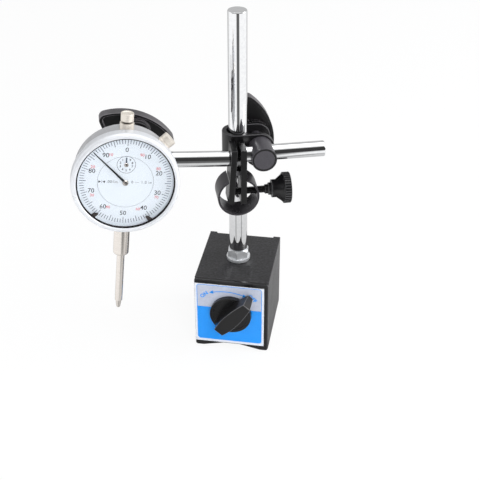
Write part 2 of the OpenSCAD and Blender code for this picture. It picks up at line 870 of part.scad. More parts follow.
module dial_clevis() {
  color([0.1, 0.1, 0.105]) clevis_frame() difference() {
    union() {
      rod_front(bolt_d, -rod_bolt_tail, rod_head_back);
      rod_front(head_d, rod_head_back, rod_head_back + head_t);
      intersection() {
        rod_front(head_d, rod_head_back, lug_y + jaw_r);
        union() {
          translate([-head_d, -lug_y, -jaw_r])
            cube([2 * head_d, lug_y - rod_head_back - head_t / 2, 2 * jaw_r]);
          translate([0, -lug_y, 0]) rod_x(2 * jaw_r, -head_d, head_d);
        }
      }
    }
    translate([-fork_gap / 2, -lug_y - jaw_r - past, -head_d])
      cube([fork_gap, lug_y + jaw_r + past - rod_head_back - head_t, 2 * head_d]);
    translate([0, -lug_y, 0]) rod_x(lug_screw_d, -head_d, head_d);
  }
}

module lug_screw() {
  head_x = sqrt(head_d * head_d / 4 - jaw_r * jaw_r);
  color([0.75, 0.75, 0.77]) clevis_frame() translate([0, -lug_y, 0]) {
    rod_x(lug_screw_d, -head_d / 2, head_d / 2);
    translate([head_d / 2, 0, 0]) rotate([0, 90, 0])
      cylinder(d1 = 1.7 * lug_screw_d, d2 = 1.4 * lug_screw_d, h = head_d / 2 - head_x);
  }
}

module dial_washer() {
  color([0.6, 0.6, 0.62]) clevis_frame() translate([0, rod_washer_y, 0]) bolt_washer();
}

module dial_wing() {
  color([0.07, 0.07, 0.075]) clevis_frame() translate([0, rod_wing_y, 0])
    rotate([0, dial_wing_turn - dial_swing - fine_tilt, 0]) crescent(wing_half);
}

module dial_insert() {
  color([0.75, 0.62, 0.3]) clevis_frame() translate([0, rod_wing_y, 0]) wing_insert();
}

// Indicator case

module case_body() {
  color([0.8, 0.8, 0.81]) dial_frame() difference() {
    turned_front() polygon([
      [cavity_r, back_t], [case_r, back_t], [case_r, case_depth],
      [ledge_r, case_depth], [ledge_r, ledge_y], [cavity_r, ledge_y]
    ]);
    translate([0, -spindle_y, 0]) {
      rod_z(stem_neck_d, -case_d, 0);
      rod_z(bush_shank_d, 0, case_d);
    }
    rotate([0, 90 - lock_angle, 0]) translate([0, -spindle_y, 0]) rod_z(lock_stem_d, 0, case_d);
    for (spot = cover_spots) translate([spot[0], 0, spot[1]])
      rod_front(cover_screw_d, 0, back_t + cover_screw_len);
  }
}

module back_cover() {
  color([0.8, 0.8, 0.81]) dial_frame() difference() {
    union() {
      rod_front(case_d, 0, back_t);
      translate([lug_right, 0, lug_up]) {
        translate([-lug_t / 2, -back_t / 2, -lug_r]) cube([lug_t, lug_reach + back_t / 2, 2 * lug_r]);
        translate([0, lug_reach, 0]) rod_x(2 * lug_r, -lug_t / 2, lug_t / 2);
      }
    }
    translate([lug_right, lug_reach, lug_up]) rod_x(lug_screw_d + 2 * fit_gap, -lug_t, lug_t);
    for (spot = cover_spots) translate([spot[0], 0, spot[1]])
      rod_front(cover_screw_d, -past, back_t + past);
  }
}

module cover_screws() {
  color([0.75, 0.75, 0.76]) dial_frame() for (spot = cover_spots) translate([spot[0], 0, spot[1]]) {
    rod_front(cover_screw_d, 0, back_t + cover_screw_len);
    rod_front(cover_head_d, -cover_head_t, 0);
  }
}

module stem() {
  inner_end = -cavity_r + past;
  color([0.78, 0.75, 0.7]) dial_frame() translate([0, -spindle_y, 0]) difference() {
    union() {
      translate([0, 0, -stem_end])
        cylinder(d1 = stem_d - 2 * stem_chamfer, d2 = stem_d, h = stem_chamfer);
      rod_z(stem_d, -stem_end + stem_chamfer, -stem_top);
      rod_z(stem_neck_d, -stem_top, inner_end);
    }
    rod_z(spindle_d + 2 * room, -stem_end - past, inner_end + past);
    rod_z(bush_bore, -stem_end - past, -stem_end + bush_len);
  }
}

module stem_bush() {
  color([0.75, 0.62, 0.3]) dial_frame() translate([0, -spindle_y, 0]) difference() {
    rod_z(bush_bore, -stem_end, -stem_end + bush_len);
    rod_z(spindle_d + 2 * fit_gap, -stem_end - past, -stem_end + bush_len + past);
  }
}

module top_bush() {
  color([0.78, 0.75, 0.7]) dial_frame() translate([0, -spindle_y, 0]) difference() {
    union() {
      rod_z(top_bush_d, cavity_r, bush_top);
      rod_z(bush_shank_d, cavity_r - past, case_r);
    }
    rod_z(spindle_d + 2 * fit_gap, cavity_r - 2 * past, bush_top + past);
    difference() {
      translate([0, spindle_y, 0]) rod_front(case_d, 0, case_depth);
      rod_z(bush_shank_d, -case_d, case_d);
    }
  }
}

// Movement plates

module plate_disc(y, r, hole_list) {
  dial_frame() difference() {
    rod_front(2 * r, y, y + plate_t);
    for (hole = hole_list) translate([hole[0], 0, hole[1]]) rod_front(hole[2], y - past, y + 2 * past);
    for (spot = pillar_spots) translate([spot[0], 0, spot[1]])
      rod_front(pillar_d, y - past, y + 2 * past);
  }
}

// The rear plate also has the post that the return spring pulls on
module rear_plate() {
  color([0.75, 0.65, 0.38]) {
    plate_disc(rear_plate_y, plate_r, [[arbor_x, arbor_z, arbor_hole]]);
    dial_frame() translate([spring_x, 0, spring_foot_z - guide_d / 2])
      rod_front(guide_d, rear_plate_y, spindle_y + coil_d / 2);
  }
}

module middle_plate() {
  color([0.75, 0.65, 0.38]) plate_disc(middle_plate_y, plate_r, [
    [arbor_x, arbor_z, arbor_d + 4 * room], [0, 0, arbor_hole], [0, centre_distance, arbor_hole]
  ]);
}

module front_plate() {
  color([0.75, 0.65, 0.38]) plate_disc(ledge_y, ledge_r, [
    [arbor_x, arbor_z, arbor_hole], [0, 0, arbor_hole], [0, centre_distance, arbor_hole]
  ]);
}

module pillars() {
  color([0.75, 0.65, 0.38]) dial_frame() for (spot = pillar_spots) translate([spot[0], 0, spot[1]])
    rod_front(pillar_d, rear_plate_y, ledge_y + plate_t);
}

module inner_dial() {
  color([0.9, 0.93, 0.98]) dial_frame() difference() {
    rod_front(inner_dial_d, ledge_y + plate_t, face_y);
    for (z = [0, centre_distance]) translate([0, 0, z])
      rod_front(arbor_d + 2 * room, ledge_y, face_y + past);
    for (spot = pillar_spots) translate([spot[0], 0, spot[1]])
      rod_front(pillar_d + room, ledge_y, ledge_y + plate_t + room);
  }
}

module bezel_lock() {
  color([0.76, 0.74, 0.7]) dial_frame() rotate([0, 90 - lock_angle, 0]) translate([0, -spindle_y, 0]) {
    rod_z(lock_stem_d - 2 * fit_gap, cavity_r + room, case_r + room);
    rod_z(lock_d, case_r + room, case_r + room + lock_len - lock_chamfer);
    translate([0, 0, case_r + room + lock_len - lock_chamfer])
      cylinder(d1 = lock_d, d2 = lock_d - 2 * lock_chamfer, h = lock_chamfer);
  }
}

// Spindle and what moves with it

module rack_notch() {
  mouth = 0.36 * rack_pitch;
  floor_half = 0.2 * rack_pitch;
  floor_x = rack_depth - rack_line;
  translate([0, spindle_d, 0]) rotate([90, 0, 0]) linear_extrude(2 * spindle_d) polygon([
    [-spindle_d, -mouth], [-spindle_d / 2, -mouth], [floor_x, -floor_half],
    [floor_x, floor_half], [-spindle_d / 2, mouth], [-spindle_d, mouth]
  ]);
}

module spindle() {
  notches = ceil(travel / rack_pitch) + 3;
  color([0.8, 0.78, 0.74]) dial_frame() translate([0, -spindle_y, 0]) difference() {
    rod_z(spindle_d, -spindle_end, cap_foot + cap_h / 2);
    for (i = [-2:notches - 2]) translate([0, 0, arbor_z - i * rack_pitch]) rack_notch();
    translate([0, 0, guide_z]) rod_x(guide_d, 0, spindle_d);
  }
}

module contact_point() {
  tip_r = 1.2;
  tip_z = -spindle_end - point_len + tip_r;
  color([0.72, 0.7, 0.68]) dial_frame() translate([0, -spindle_y, 0]) {
    rod_z(spindle_d - 2 * fit_gap, -spindle_end - point_collar, -spindle_end);
    translate([0, 0, tip_z])
      cylinder(r1 = tip_r, r2 = 0.4 * spindle_d, h = point_len - tip_r - point_collar);
    translate([0, 0, tip_z]) sphere(r = tip_r);
  }
}

module stop_cap() {
  top = cap_foot + cap_h - cap_chamfer;
  color([0.8, 0.77, 0.72]) dial_frame() translate([0, -spindle_y, 0]) difference() {
    union() {
      rod_z(neck_d, bush_top + seat_gap, cap_foot);
      rod_z(cap_d, cap_foot, top);
      translate([0, 0, top]) cylinder(d1 = cap_d, d2 = cap_d - 2 * cap_chamfer, h = cap_chamfer);
    }
    rod_z(spindle_d, bush_top, cap_foot + cap_h / 2);
  }
}

module guide_pin() {
  color([0.6, 0.6, 0.62]) dial_frame() translate([0, -spindle_y, guide_z])
    rod_x(guide_d, 0, spring_x + 1);
}

module return_spring() {
  color([0.55, 0.55, 0.57]) dial_frame() translate([spring_x, -spindle_y, 0]) difference() {
    rod_z(coil_d, spring_foot_z, guide_z - guide_d / 2);
    rod_z(coil_d / 2, spring_foot_z - past, guide_z);
  }
}

// Gear train

module rack_pinion() {
  color([0.72, 0.7, 0.62]) dial_frame() translate([arbor_x, 0, arbor_z]) {
    rod_front(arbor_d, rear_plate_y, ledge_y + plate_t);
    difference() {
      slab_front(spindle_y - rack_pinion_w / 2, spindle_y + rack_pinion_w / 2)
        gear_outline(rack_teeth, rack_r, rack_top - fit_gap, rack_depth);
      rod_front(arbor_d, 0, case_depth);
    }
  }
}

module drive_gear() {
  color([0.78, 0.68, 0.4]) dial_frame() translate([arbor_x, 0, arbor_z]) difference() {
    slab_front(drive_y, drive_y + wheel_t) rotate(drive_angle + 180) fine_outline(wheel_teeth);
    rod_front(arbor_d, 0, case_depth);
  }
}

module centre_pinion() {
  color([0.72, 0.7, 0.62]) dial_frame() {
    rod_front(arbor_d, middle_plate_y, main_hand_y);
    difference() {
      slab_front(drive_y - fit_gap, takeup_y + wheel_t + fit_gap)
        rotate(pinion_turn) fine_outline(pinion_teeth);
      rod_front(arbor_d, 0, case_depth);
    }
  }
}

module main_hand() {
  main_hand_len = view_r - main_hand_short;
  root_w = 1.5;
  tip_w = 0.36;
  hub = 4.6;
  color([0.08, 0.08, 0.09]) dial_frame() rotate([0, -main_hand_turn, 0]) difference() {
    union() {
      slab_front(main_hand_y, main_hand_y + hand_t) polygon([
        [-root_w / 2, 0], [root_w / 2, 0], [tip_w / 2, main_hand_len], [-tip_w / 2, main_hand_len]
      ]);
      rod_front(hub, main_hand_y - hand_t, main_hand_y + 2 * hand_t);
    }
    rod_front(arbor_d, 0, main_hand_y);
  }
}

module takeup_gear() {
  color([0.78, 0.68, 0.4]) dial_frame() translate([0, 0, centre_distance]) {
    rod_front(arbor_d, middle_plate_y, counter_y);
    difference() {
      slab_front(takeup_y, takeup_y + wheel_t) rotate(takeup_turn) fine_outline(wheel_teeth);
      rod_front(arbor_d, 0, case_depth);
    }
  }
}

module counter_hand() {
  half_w = 0.4;
  hub = 3;
  color([0.2, 0.2, 0.3]) dial_frame() translate([0, 0, centre_distance]) difference() {
    union() {
      slab_front(counter_y, counter_y + hand_t / 2) translate([-half_w, 0])
        square([2 * half_w, counter_hand_len]);
      rod_front(hub, counter_y - 2 * fit_gap, counter_y + hand_t);
    }
    rod_front(arbor_d, 0, counter_y);
  }
}

module hairspring() {
  hairspring_d = 9;
  color([0.35, 0.4, 0.55]) dial_frame() translate([0, 0, centre_distance]) difference() {
    rod_front(hairspring_d, hairspring_y, hairspring_y + hairspring_t);
    rod_front(arbor_d, 0, case_depth);
  }
}

// Bezel and what turns with it

module bezel() {
  inner = case_r + fit_gap;
  edge = 0.3;
  slope = 1.4;
  gasket_back = gasket_y - gasket_t;
  color([0.85, 0.85, 0.85]) dial_frame() turned_front() polygon([
    [inner, bezel_back], [bezel_r - edge, bezel_back], [bezel_r, bezel_back + edge],
    [bezel_r, dial_depth - slope], [bezel_r - slope, dial_depth],
    [view_r + edge, dial_depth], [view_r, dial_depth - edge],
    [view_r, crystal_y], [crystal_r, crystal_y], [crystal_r, gasket_back],
    [dial_ring_r, gasket_back], [dial_ring_r, case_depth + room], [inner, case_depth + room]
  ]);
}

module crystal() {
  color([0.9, 0.95, 1, 0.25]) dial_frame() rod_front(2 * crystal_r, gasket_y, crystal_y);
}

module gasket() {
  color([0.03, 0.03, 0.035]) dial_frame() difference() {
    rod_front(2 * crystal_r, gasket_y - gasket_t, gasket_y);
    rod_front(2 * (view_r - gasket_lip), gasket_y - 2 * gasket_t, gasket_y + gasket_t);
  }
}

module dial_ring() {
  color([0.9, 0.93, 0.98]) dial_frame() difference() {
    rod_front(2 * dial_ring_r, face_y - dial_t, face_y);
    rod_front(inner_dial_d + 2 * fit_gap, face_y - 2 * dial_t, face_y + dial_t);
  }
}

// A limit hand lies under the gasket and points inward
module limit_hand(angle) {
  r = view_r - fit_gap;
  band = 1.1;
  half_angle = 6;
  pointer = 3.6;
  foot_half = 1.7;
  tip_half = 1.3;
  color([0.04, 0.04, 0.045]) dial_frame() rotate([0, 90 - angle, 0])
    translate([0, -limit_y + hand_t, 0]) rotate([90, 0, 0]) {
      sector_band(r - band, r, half_angle, hand_t);
      linear_extrude(hand_t) polygon([
        [-foot_half, r - band / 2], [foot_half, r - band / 2], [tip_half, r - pointer],
        [-tip_half, r - pointer]
      ]);
    }
}

module limit_hand_left() {
  limit_hand(limit_left_angle);
}

module limit_hand_right() {
  limit_hand(limit_right_angle);
}

pole_left();
pole_right();
pole_spacer();
front_cover();
label_plate();
rear_plug();
magnet_rotor();
rotor_shaft();
switch_knob();
column();
flange_nut();
clamp_strap();
clamp_eyebolt();
clamp_washer();
clamp_wing();
clamp_insert();
right_rod();
right_leg();
fulcrum_pin();
spring_ring();
thumb_screw();
thumb_knob();
left_leg();
left_rod();
rod_strap();
dial_clevis();
lug_screw();
dial_washer();
dial_wing();
dial_insert();
case_body();
back_cover();
cover_screws();
stem();
stem_bush();
top_bush();
rear_plate();
middle_plate();
front_plate();
pillars();
inner_dial();
bezel_lock();
spindle();
contact_point();
stop_cap();
guide_pin();
return_spring();
rack_pinion();
drive_gear();
centre_pinion();
main_hand();
takeup_gear();
counter_hand();
hairspring();
bezel();
crystal();
gasket();
dial_ring();
limit_hand_left();
limit_hand_right();
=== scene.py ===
import json
import math

import bmesh
import bpy
from mathutils import Matrix, Vector

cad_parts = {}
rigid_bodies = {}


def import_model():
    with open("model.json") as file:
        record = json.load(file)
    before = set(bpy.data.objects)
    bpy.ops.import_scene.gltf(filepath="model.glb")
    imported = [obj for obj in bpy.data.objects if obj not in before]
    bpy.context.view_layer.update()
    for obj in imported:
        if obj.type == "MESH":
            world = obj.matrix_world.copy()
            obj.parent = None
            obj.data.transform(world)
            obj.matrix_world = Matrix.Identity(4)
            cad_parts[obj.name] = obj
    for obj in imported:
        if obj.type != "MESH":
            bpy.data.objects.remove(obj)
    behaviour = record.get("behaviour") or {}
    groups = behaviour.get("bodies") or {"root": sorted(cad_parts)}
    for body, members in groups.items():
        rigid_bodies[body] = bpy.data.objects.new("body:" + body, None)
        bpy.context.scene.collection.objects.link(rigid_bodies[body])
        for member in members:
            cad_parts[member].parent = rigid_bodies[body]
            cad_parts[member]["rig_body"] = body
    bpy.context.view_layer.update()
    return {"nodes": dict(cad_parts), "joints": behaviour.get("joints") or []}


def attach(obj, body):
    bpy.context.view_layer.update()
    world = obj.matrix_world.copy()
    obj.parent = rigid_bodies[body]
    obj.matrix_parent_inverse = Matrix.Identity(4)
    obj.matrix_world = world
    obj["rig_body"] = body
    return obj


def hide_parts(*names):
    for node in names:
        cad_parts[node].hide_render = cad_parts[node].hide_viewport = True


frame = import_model()

# Frames: every new piece is modelled in millimetres in the frame of what carries it
MM = 0.001
JOINTS = {joint["name"]: joint for joint in frame["joints"]}
BOLT_OFFSET = 12.8
DIAL_PIVOT = 15.0
FORWARD = Matrix.Rotation(math.radians(90), 4, "X")
RIGHTWARD = Matrix.Rotation(math.radians(90), 4, "Y")


def joint_axis(name):
    return Vector(JOINTS[name]["axis"])


def joint_pos(name):
    return Vector(JOINTS[name]["pos_m"])


def axes_frame(origin, x_axis, y_axis):
    """A frame of millimetres at a point that is given in metres."""
    x = Vector(x_axis).normalized()
    y = Vector(y_axis).normalized()
    turn = Matrix((x, y, x.cross(y))).transposed().to_4x4()
    return Matrix.Translation(origin) @ turn @ Matrix.Scale(MM, 4)


def shift(x, y, z):
    return Matrix.Translation((x, y, z))


BASE = axes_frame((0, 0, 0), (1, 0, 0), (0, 1, 0))
ARM = axes_frame(joint_pos("arm_tilt") - joint_axis("arm_slide") * BOLT_OFFSET * MM,
                 joint_axis("arm_slide"), joint_axis("arm_tilt"))
FINE = axes_frame(joint_pos("fine_adjust"), -joint_axis("dial_slide"), joint_axis("fine_adjust"))
DIAL_FRONT = joint_axis("bezel_turn")
DIAL = axes_frame(joint_pos("bezel_turn") - DIAL_FRONT * DIAL_PIVOT * MM,
                  (-DIAL_FRONT).cross(joint_axis("plunger_slide")), -DIAL_FRONT)
# The dial seen from the front: x to the right, y up and z towards the eye
DIAL_FACE = DIAL @ FORWARD

# Sizes of the pieces in millimetres, and the switch's turn in degrees
SWITCH_Z = 30.0
POINTER_TURN = 40.0
LABEL_FRONT = 30.5
NUT_TOP = 63.25
COLUMN_R = 6.0
COLUMN_TOP = 231.0
ROD_R = 5.0
ROD_Y = 16.0
EYE_FRONT = 25.95
CASE_R = 29.2
SPINDLE_Y = 7.1625
FACE_Y = 16.5875
COUNTER_UP = 11.0
PRINT_LIFT = 0.03


# Shader helpers

def srgb(red, green, blue):
    """A linear colour from the 0 to 255 values of a swatch."""
    def linear(value):
        share = value / 255
        return share / 12.92 if share <= 0.04045 else ((share + 0.055) / 1.055) ** 2.4
    return (linear(red), linear(green), linear(blue), 1.0)


class Graph:
    """A node tree under construction."""

    def __init__(self, tree):
        self.tree = tree

    def node(self, kind, **values):
        made = self.tree.nodes.new(kind)
        for key, value in values.items():
            setattr(made, key, value)
        return made

    def link(self, source, target):
        self.tree.links.new(source, target)

    def feed(self, target, value):
        """Links a socket to an input, or sets a plain value on it."""
        if isinstance(value, bpy.types.NodeSocket):
            self.link(value, target)
        else:
            target.default_value = value

    def group(self, tree, **values):
        made = self.node("ShaderNodeGroup", node_tree=tree)
        for key, value in values.items():
            self.feed(made.inputs[key.replace("_", " ")], value)
        return made

    def math(self, operation, *values):
        made = self.node("ShaderNodeMath", operation=operation)
        for target, value in zip(made.inputs, values):
            self.feed(target, value)
        return made.outputs["Value"]

    def vector(self, operation, *values):
        made = self.node("ShaderNodeVectorMath", operation=operation)
        for target, value in zip(made.inputs, values):
            self.feed(target, value)
        return made.outputs["Value" if operation in ("DOT_PRODUCT", "LENGTH") else "Vector"]

    def remap(self, source, start, end, low, high, kind="LINEAR"):
        made = self.node("ShaderNodeMapRange", interpolation_type=kind)
        for target, value in zip(made.inputs, (source, start, end, low, high)):
            self.feed(target, value)
        return made.outputs["Result"]

    def blend(self, factor, first, second):
        made = self.node("ShaderNodeMix")
        for target, value in zip(made.inputs, (factor, None, first, second)):
            if value is not None:
                self.feed(target, value)
        return made.outputs["Result"]

    def ramp(self, source, stops):
        """Grey levels along a 0 to 1 value, from (place, level) pairs in order."""
        made = self.node("ShaderNodeValToRGB")
        elements = made.color_ramp.elements
        elements[0].position, elements[1].position = stops[0][0], stops[-1][0]
        for place, level in stops[1:-1]:
            elements.new(place)
        for element, (place, level) in zip(elements, stops):
            element.color = (level, level, level, 1)
        self.link(source, made.inputs["Fac"])
        return made.outputs["Color"]

    def split(self, source):
        made = self.node("ShaderNodeSeparateXYZ")
        self.link(source, made.inputs["Vector"])
        return made


def new_group(name, inputs, outputs):
    """An empty node group with its sockets: the graph, the inlet and the outlet."""
    tree = bpy.data.node_groups.new(name, "ShaderNodeTree")
    for socket, kind in inputs:
        tree.interface.new_socket(socket, in_out="INPUT", socket_type=kind)
    for socket in outputs:
        tree.interface.new_socket(socket, in_out="OUTPUT", socket_type="NodeSocketFloat")
    graph = Graph(tree)
    return graph, graph.node("NodeGroupInput").outputs, graph.node("NodeGroupOutput").inputs


def grain_group():
    """Fine grain for bumps and a slow drift for roughness, from one vector."""
    number = "NodeSocketFloat"
    inputs = (("Vector", "NodeSocketVector"), ("Grain Scale", number), ("Drift Scale", number))
    graph, inlet, outlet = new_group("surface_grain", inputs, ("Grain", "Drift"))
    for scale, output, detail in (("Grain Scale", "Grain", 3.0), ("Drift Scale", "Drift", 5.0)):
        noise = graph.node("ShaderNodeTexNoise")
        noise.inputs["Detail"].default_value = detail
        graph.link(inlet["Vector"], noise.inputs["Vector"])
        graph.link(inlet[scale], noise.inputs["Scale"])
        graph.link(noise.outputs["Fac"], outlet[output])
    return graph.tree


def front_group():
    """0 for a direction or a place behind the object, 1 for one in front of it."""
    front = (0.269, -0.963, 0.0)
    graph, inlet, outlet = new_group("front_share", (("Vector", "NodeSocketVector"),), ("Share",))
    level = graph.vector("NORMALIZE", graph.vector("MULTIPLY", inlet["Vector"], (1, 1, 0)))
    facing = graph.vector("DOT_PRODUCT", level, front)
    graph.link(graph.math("MULTIPLY_ADD", facing, 0.5, 0.5), outlet["Share"])
    return graph.tree


def edge_group():
    """A mask of the painted highlight along rounded edges, ribs' crests and nut bands, made uneven by the
    drift.
    """
    graph, inlet, outlet = new_group("painted_edge_highlight", (("Drift", "NodeSocketFloat"),), ("Mask",))
    least = 0.55
    rounded = graph.node("ShaderNodeAttribute", attribute_name="painted_highlight").outputs["Fac"]
    uneven = graph.remap(inlet["Drift"], 0.35, 0.6, least, 1.0)
    graph.link(graph.math("MULTIPLY", rounded, uneven), outlet["Mask"])
    return graph.tree


GRAIN = grain_group()
EDGE_HIGHLIGHT = edge_group()
FRONT_SHARE = front_group()
# How finely the slow drift repeats, for each metre, and how deep the bumps of the grain go, in metres
DRIFT_SCALE = 60.0
BUMP_DISTANCE = 0.0002
# The stretch of the two noises that is spread over a finish's whole range
GRAIN_SPREAD = (0.35, 0.65)
DRIFT_SPREAD = (0.3, 0.7)


class Finish(Graph):
    """A material under construction, with its shader and its grain."""

    def __init__(self, name):
        self.material = bpy.data.materials.new(name)
        self.material.use_nodes = True
        super().__init__(self.material.node_tree)
        self.shader = self.tree.nodes["Principled BSDF"]

    def set(self, **values):
        for key, value in values.items():
            self.shader.inputs[key.replace("_", " ")].default_value = value
        return self

    def grain(self, grain_scale, drift_scale, stretch=(1, 1, 1)):
        place = self.node("ShaderNodeTexCoord")
        mapping = self.node("ShaderNodeMapping")
        mapping.inputs["Scale"].default_value = stretch
        self.link(place.outputs["Object"], mapping.inputs["Vector"])
        return self.group(GRAIN, Vector=mapping.outputs["Vector"], Grain_Scale=grain_scale,
                          Drift_Scale=drift_scale)

    def bump(self, height, strength, distance):
        bump = self.node("ShaderNodeBump")
        bump.inputs["Strength"].default_value = strength
        bump.inputs["Distance"].default_value = distance
        self.link(height, bump.inputs["Height"])
        self.link(bump.outputs["Normal"], self.shader.inputs["Normal"])

    def tint(self, factor, first, second):
        """A colour between two others."""
        mix = self.node("ShaderNodeMix", data_type="RGBA")
        for key, value in (("Factor", factor), ("A", first), ("B", second)):
            self.feed(next(inlet for inlet in mix.inputs if inlet.enabled and inlet.name == key), value)
        return next(outlet for outlet in mix.outputs if outlet.enabled)


def coated(name, dark, light, rough, grain_scale, bump, metallic=0.0, stretch=(1, 1, 1), edge=None,
           **values):
    """A surface whose colour and roughness drift slowly over a fine grain, with a painted highlight on
    its rounded edges.
    """
    finish = Finish(name)
    finish.set(Metallic=metallic, **values)
    group = finish.grain(grain_scale, DRIFT_SCALE, stretch)
    drift = group.outputs["Drift"]
    speckle = finish.remap(group.outputs["Grain"], *GRAIN_SPREAD, 0.0, 1.0)
    colour = finish.tint(speckle, srgb(*dark), srgb(*light))
    # Painted highlight: the edge colour laid on rounded edges, ribs' crests and nut bands
    if edge:
        colour = finish.tint(finish.group(EDGE_HIGHLIGHT, Drift=drift).outputs["Mask"], colour, srgb(*edge))
    finish.link(colour, finish.shader.inputs["Base Color"])
    finish.link(finish.remap(drift, *DRIFT_SPREAD, *rough), finish.shader.inputs["Roughness"])
    if bump:
        finish.bump(group.outputs["Grain"], bump, BUMP_DISTANCE)
    return finish.material


def crystal_material():
    """Clear glass that lets the light through to the dial."""
    finish = Finish("crystal_glass")
    finish.set(Roughness=0.0, IOR=1.45, Transmission_Weight=1.0)
    clear = finish.node("ShaderNodeBsdfTransparent")
    light = finish.node("ShaderNodeLightPath").outputs
    mix = finish.node("ShaderNodeMixShader")
    through = finish.math("MAXIMUM", light["Is Shadow Ray"], light["Is Diffuse Ray"])
    finish.link(through, mix.inputs["Fac"])
    finish.link(finish.shader.outputs["BSDF"], mix.inputs[1])
    finish.link(clear.outputs["BSDF"], mix.inputs[2])
    finish.link(mix.outputs["Shader"], finish.tree.nodes["Material Output"].inputs["Surface"])
    return finish.material


# In order: name, darker and lighter swatch, roughness range, grain scale, bump, metallic and stretch;
# edge is the colour of the painted highlight on rounded edges
MATERIALS = {
    "paint": coated("textured_black_paint", (0, 0, 1), (34, 33, 37), (0.42, 0.52), 640, 1.0,
                    edge=(50, 49, 52), Sheen_Weight=0.08),
    "enamel": coated("gloss_black_enamel", (14, 14, 15), (20, 20, 21), (0.16, 0.24), 700, 0.04,
                     edge=(44, 44, 46)),
    "black": coated("gloss_black", (8, 8, 9), (13, 13, 14), (0.24, 0.34), 2200, 0.05,
                    edge=(46, 46, 48)),
    "oxide": coated("satin_black_oxide", (14, 14, 15), (22, 21, 23), (0.26, 0.36), 2200, 0.06,
                    edge=(62, 61, 64)),
    "spring": coated("grey_spring_steel", (56, 54, 58), (68, 66, 70), (0.24, 0.34), 1400, 0.05, 0.6,
                     edge=(120, 118, 122)),
    "bolt": coated("grey_oxide", (58, 56, 61), (68, 66, 71), (0.28, 0.38), 2200, 0.04),
    "plastic": coated("moulded_black_plastic", (12, 12, 13), (20, 19, 21), (0.28, 0.38), 1800, 0.06,
                      edge=(96, 96, 98)),
    "wing": coated("dark_plastic_painted_band_highlight", (11, 11, 12), (19, 18, 20), (0.3, 0.4), 1800, 0.06,
                   edge=(126, 122, 127)),
    "chrome": coated("polished_chrome", (243, 244, 246), (250, 251, 252), (0.02, 0.05), 500, 0.0, 1.0),
    "zinc": coated("bright_zinc", (222, 224, 227), (236, 238, 240), (0.3, 0.42), 1500, 0.06, 0.75,
                   edge=(246, 247, 248)),
    "nickel": coated("warm_nickel", (236, 229, 222), (246, 240, 234), (0.16, 0.26), 1500, 0.03, 1.0,
                     (0.2, 0.2, 6)),
    "satin": coated("satin_nickel", (232, 224, 213), (242, 235, 225), (0.3, 0.4), 1500, 0.03, 0.6),
    "steel": coated("turned_steel", (150, 150, 154), (176, 176, 180), (0.22, 0.34), 1500, 0.05, 1.0),
    "lacquer": coated("silver_lacquer", (172, 172, 175), (190, 190, 192), (0.34, 0.44), 2600, 0.08, 0.15,
                      (3, 0.3, 3)),
    "rim": coated("pale_lacquer", (216, 218, 222), (228, 230, 234), (0.26, 0.36), 4000, 0.05, 0.3),
    "brass": coated("turned_brass", (188, 158, 92), (206, 178, 112), (0.2, 0.32), 1500, 0.05, 1.0),
    "magnet": coated("sintered_magnet", (84, 84, 88), (104, 104, 108), (0.4, 0.55), 1800, 0.2, 0.8),
    "rubber": coated("black_rubber", (22, 19, 18), (32, 28, 27), (0.4, 0.55), 1600, 0.06),
    "dial": coated("dial_white", (230, 238, 247), (234, 242, 250), (0.42, 0.5), 1200, 0.0),
    "plate": coated("white_plate", (212, 216, 224), (220, 224, 232), (0.3, 0.4), 900, 0.0,
                    Coat_Weight=0.2),
    "silver": coated("silver_print", (174, 180, 196), (182, 188, 204), (0.3, 0.4), 900, 0.0,
                     Coat_Weight=0.2),
    "ink": coated("black_ink", (36, 36, 42), (48, 48, 54), (0.4, 0.5), 1500, 0.0),
    "red": coated("red_ink", (226, 124, 130), (232, 136, 142), (0.4, 0.5), 1500, 0.0),
    "blue": coated("blue_ink", (4, 138, 232), (12, 146, 240), (0.3, 0.4), 1500, 0.0, Coat_Weight=0.2),
    "grey": coated("grey_ink", (84, 90, 106), (98, 104, 118), (0.4, 0.5), 1500, 0.0),
    "hand": coated("satin_black_hand", (26, 26, 32), (36, 36, 42), (0.3, 0.4), 1500, 0.03),
    "slate": coated("slate_hand", (84, 92, 106), (98, 106, 120), (0.3, 0.4), 1500, 0.03),
    "limit": coated("dark_limit_hand", (60, 55, 54), (72, 66, 65), (0.35, 0.45), 1500, 0.03),
    "crystal": crystal_material(),
}


# Mesh helpers

# Distances under which points are merged: millimetres in new pieces, metres in copies of solids
MERGE_MM = 0.0005
MERGE_M = 1e-6


def worn_layer(bm):
    """The layer that says how strongly each face takes the painted highlight, from 0 to 1."""
    layers = bm.faces.layers.float
    return layers.get("painted_highlight") or layers.new("painted_highlight")


def bevel_sharp(bm, width, segments=2, angle=30.0, wanted=None):
    """Rounds the edges where faces meet at more than the angle, and marks them for the painted edge
    highlight.
    """
    painted_highlight = worn_layer(bm)
    limit = math.radians(angle)
    edges = []
    for edge in bm.edges:
        if len(edge.link_faces) == 2 and edge.calc_face_angle(0) > limit:
            if wanted is None or wanted(edge):
                edges.append(edge)
    made = bmesh.ops.bevel(bm, geom=edges, offset=width, offset_type="OFFSET", segments=segments,
                           profile=0.5, affect="EDGES", clamp_overlap=True, material=-1)
    for face in made["faces"]:
        face[painted_highlight] = 1.0


def turned(profile, steps=96, closed=False):
    """A profile of (radius, height) points spun round the z axis."""
    bm = bmesh.new()
    verts = [bm.verts.new((radius, 0, height)) for radius, height in profile]
    edges = [bm.edges.new(pair) for pair in zip(verts, verts[1:])]
    if closed:
        edges.append(bm.edges.new((verts[-1], verts[0])))
    bmesh.ops.spin(bm, geom=verts + edges, cent=(0, 0, 0), axis=(0, 0, 1), angle=2 * math.pi,
                   steps=steps, use_merge=True)
    bmesh.ops.remove_doubles(bm, verts=bm.verts, dist=MERGE_MM)
    bmesh.ops.recalc_face_normals(bm, faces=bm.faces)
    return bm


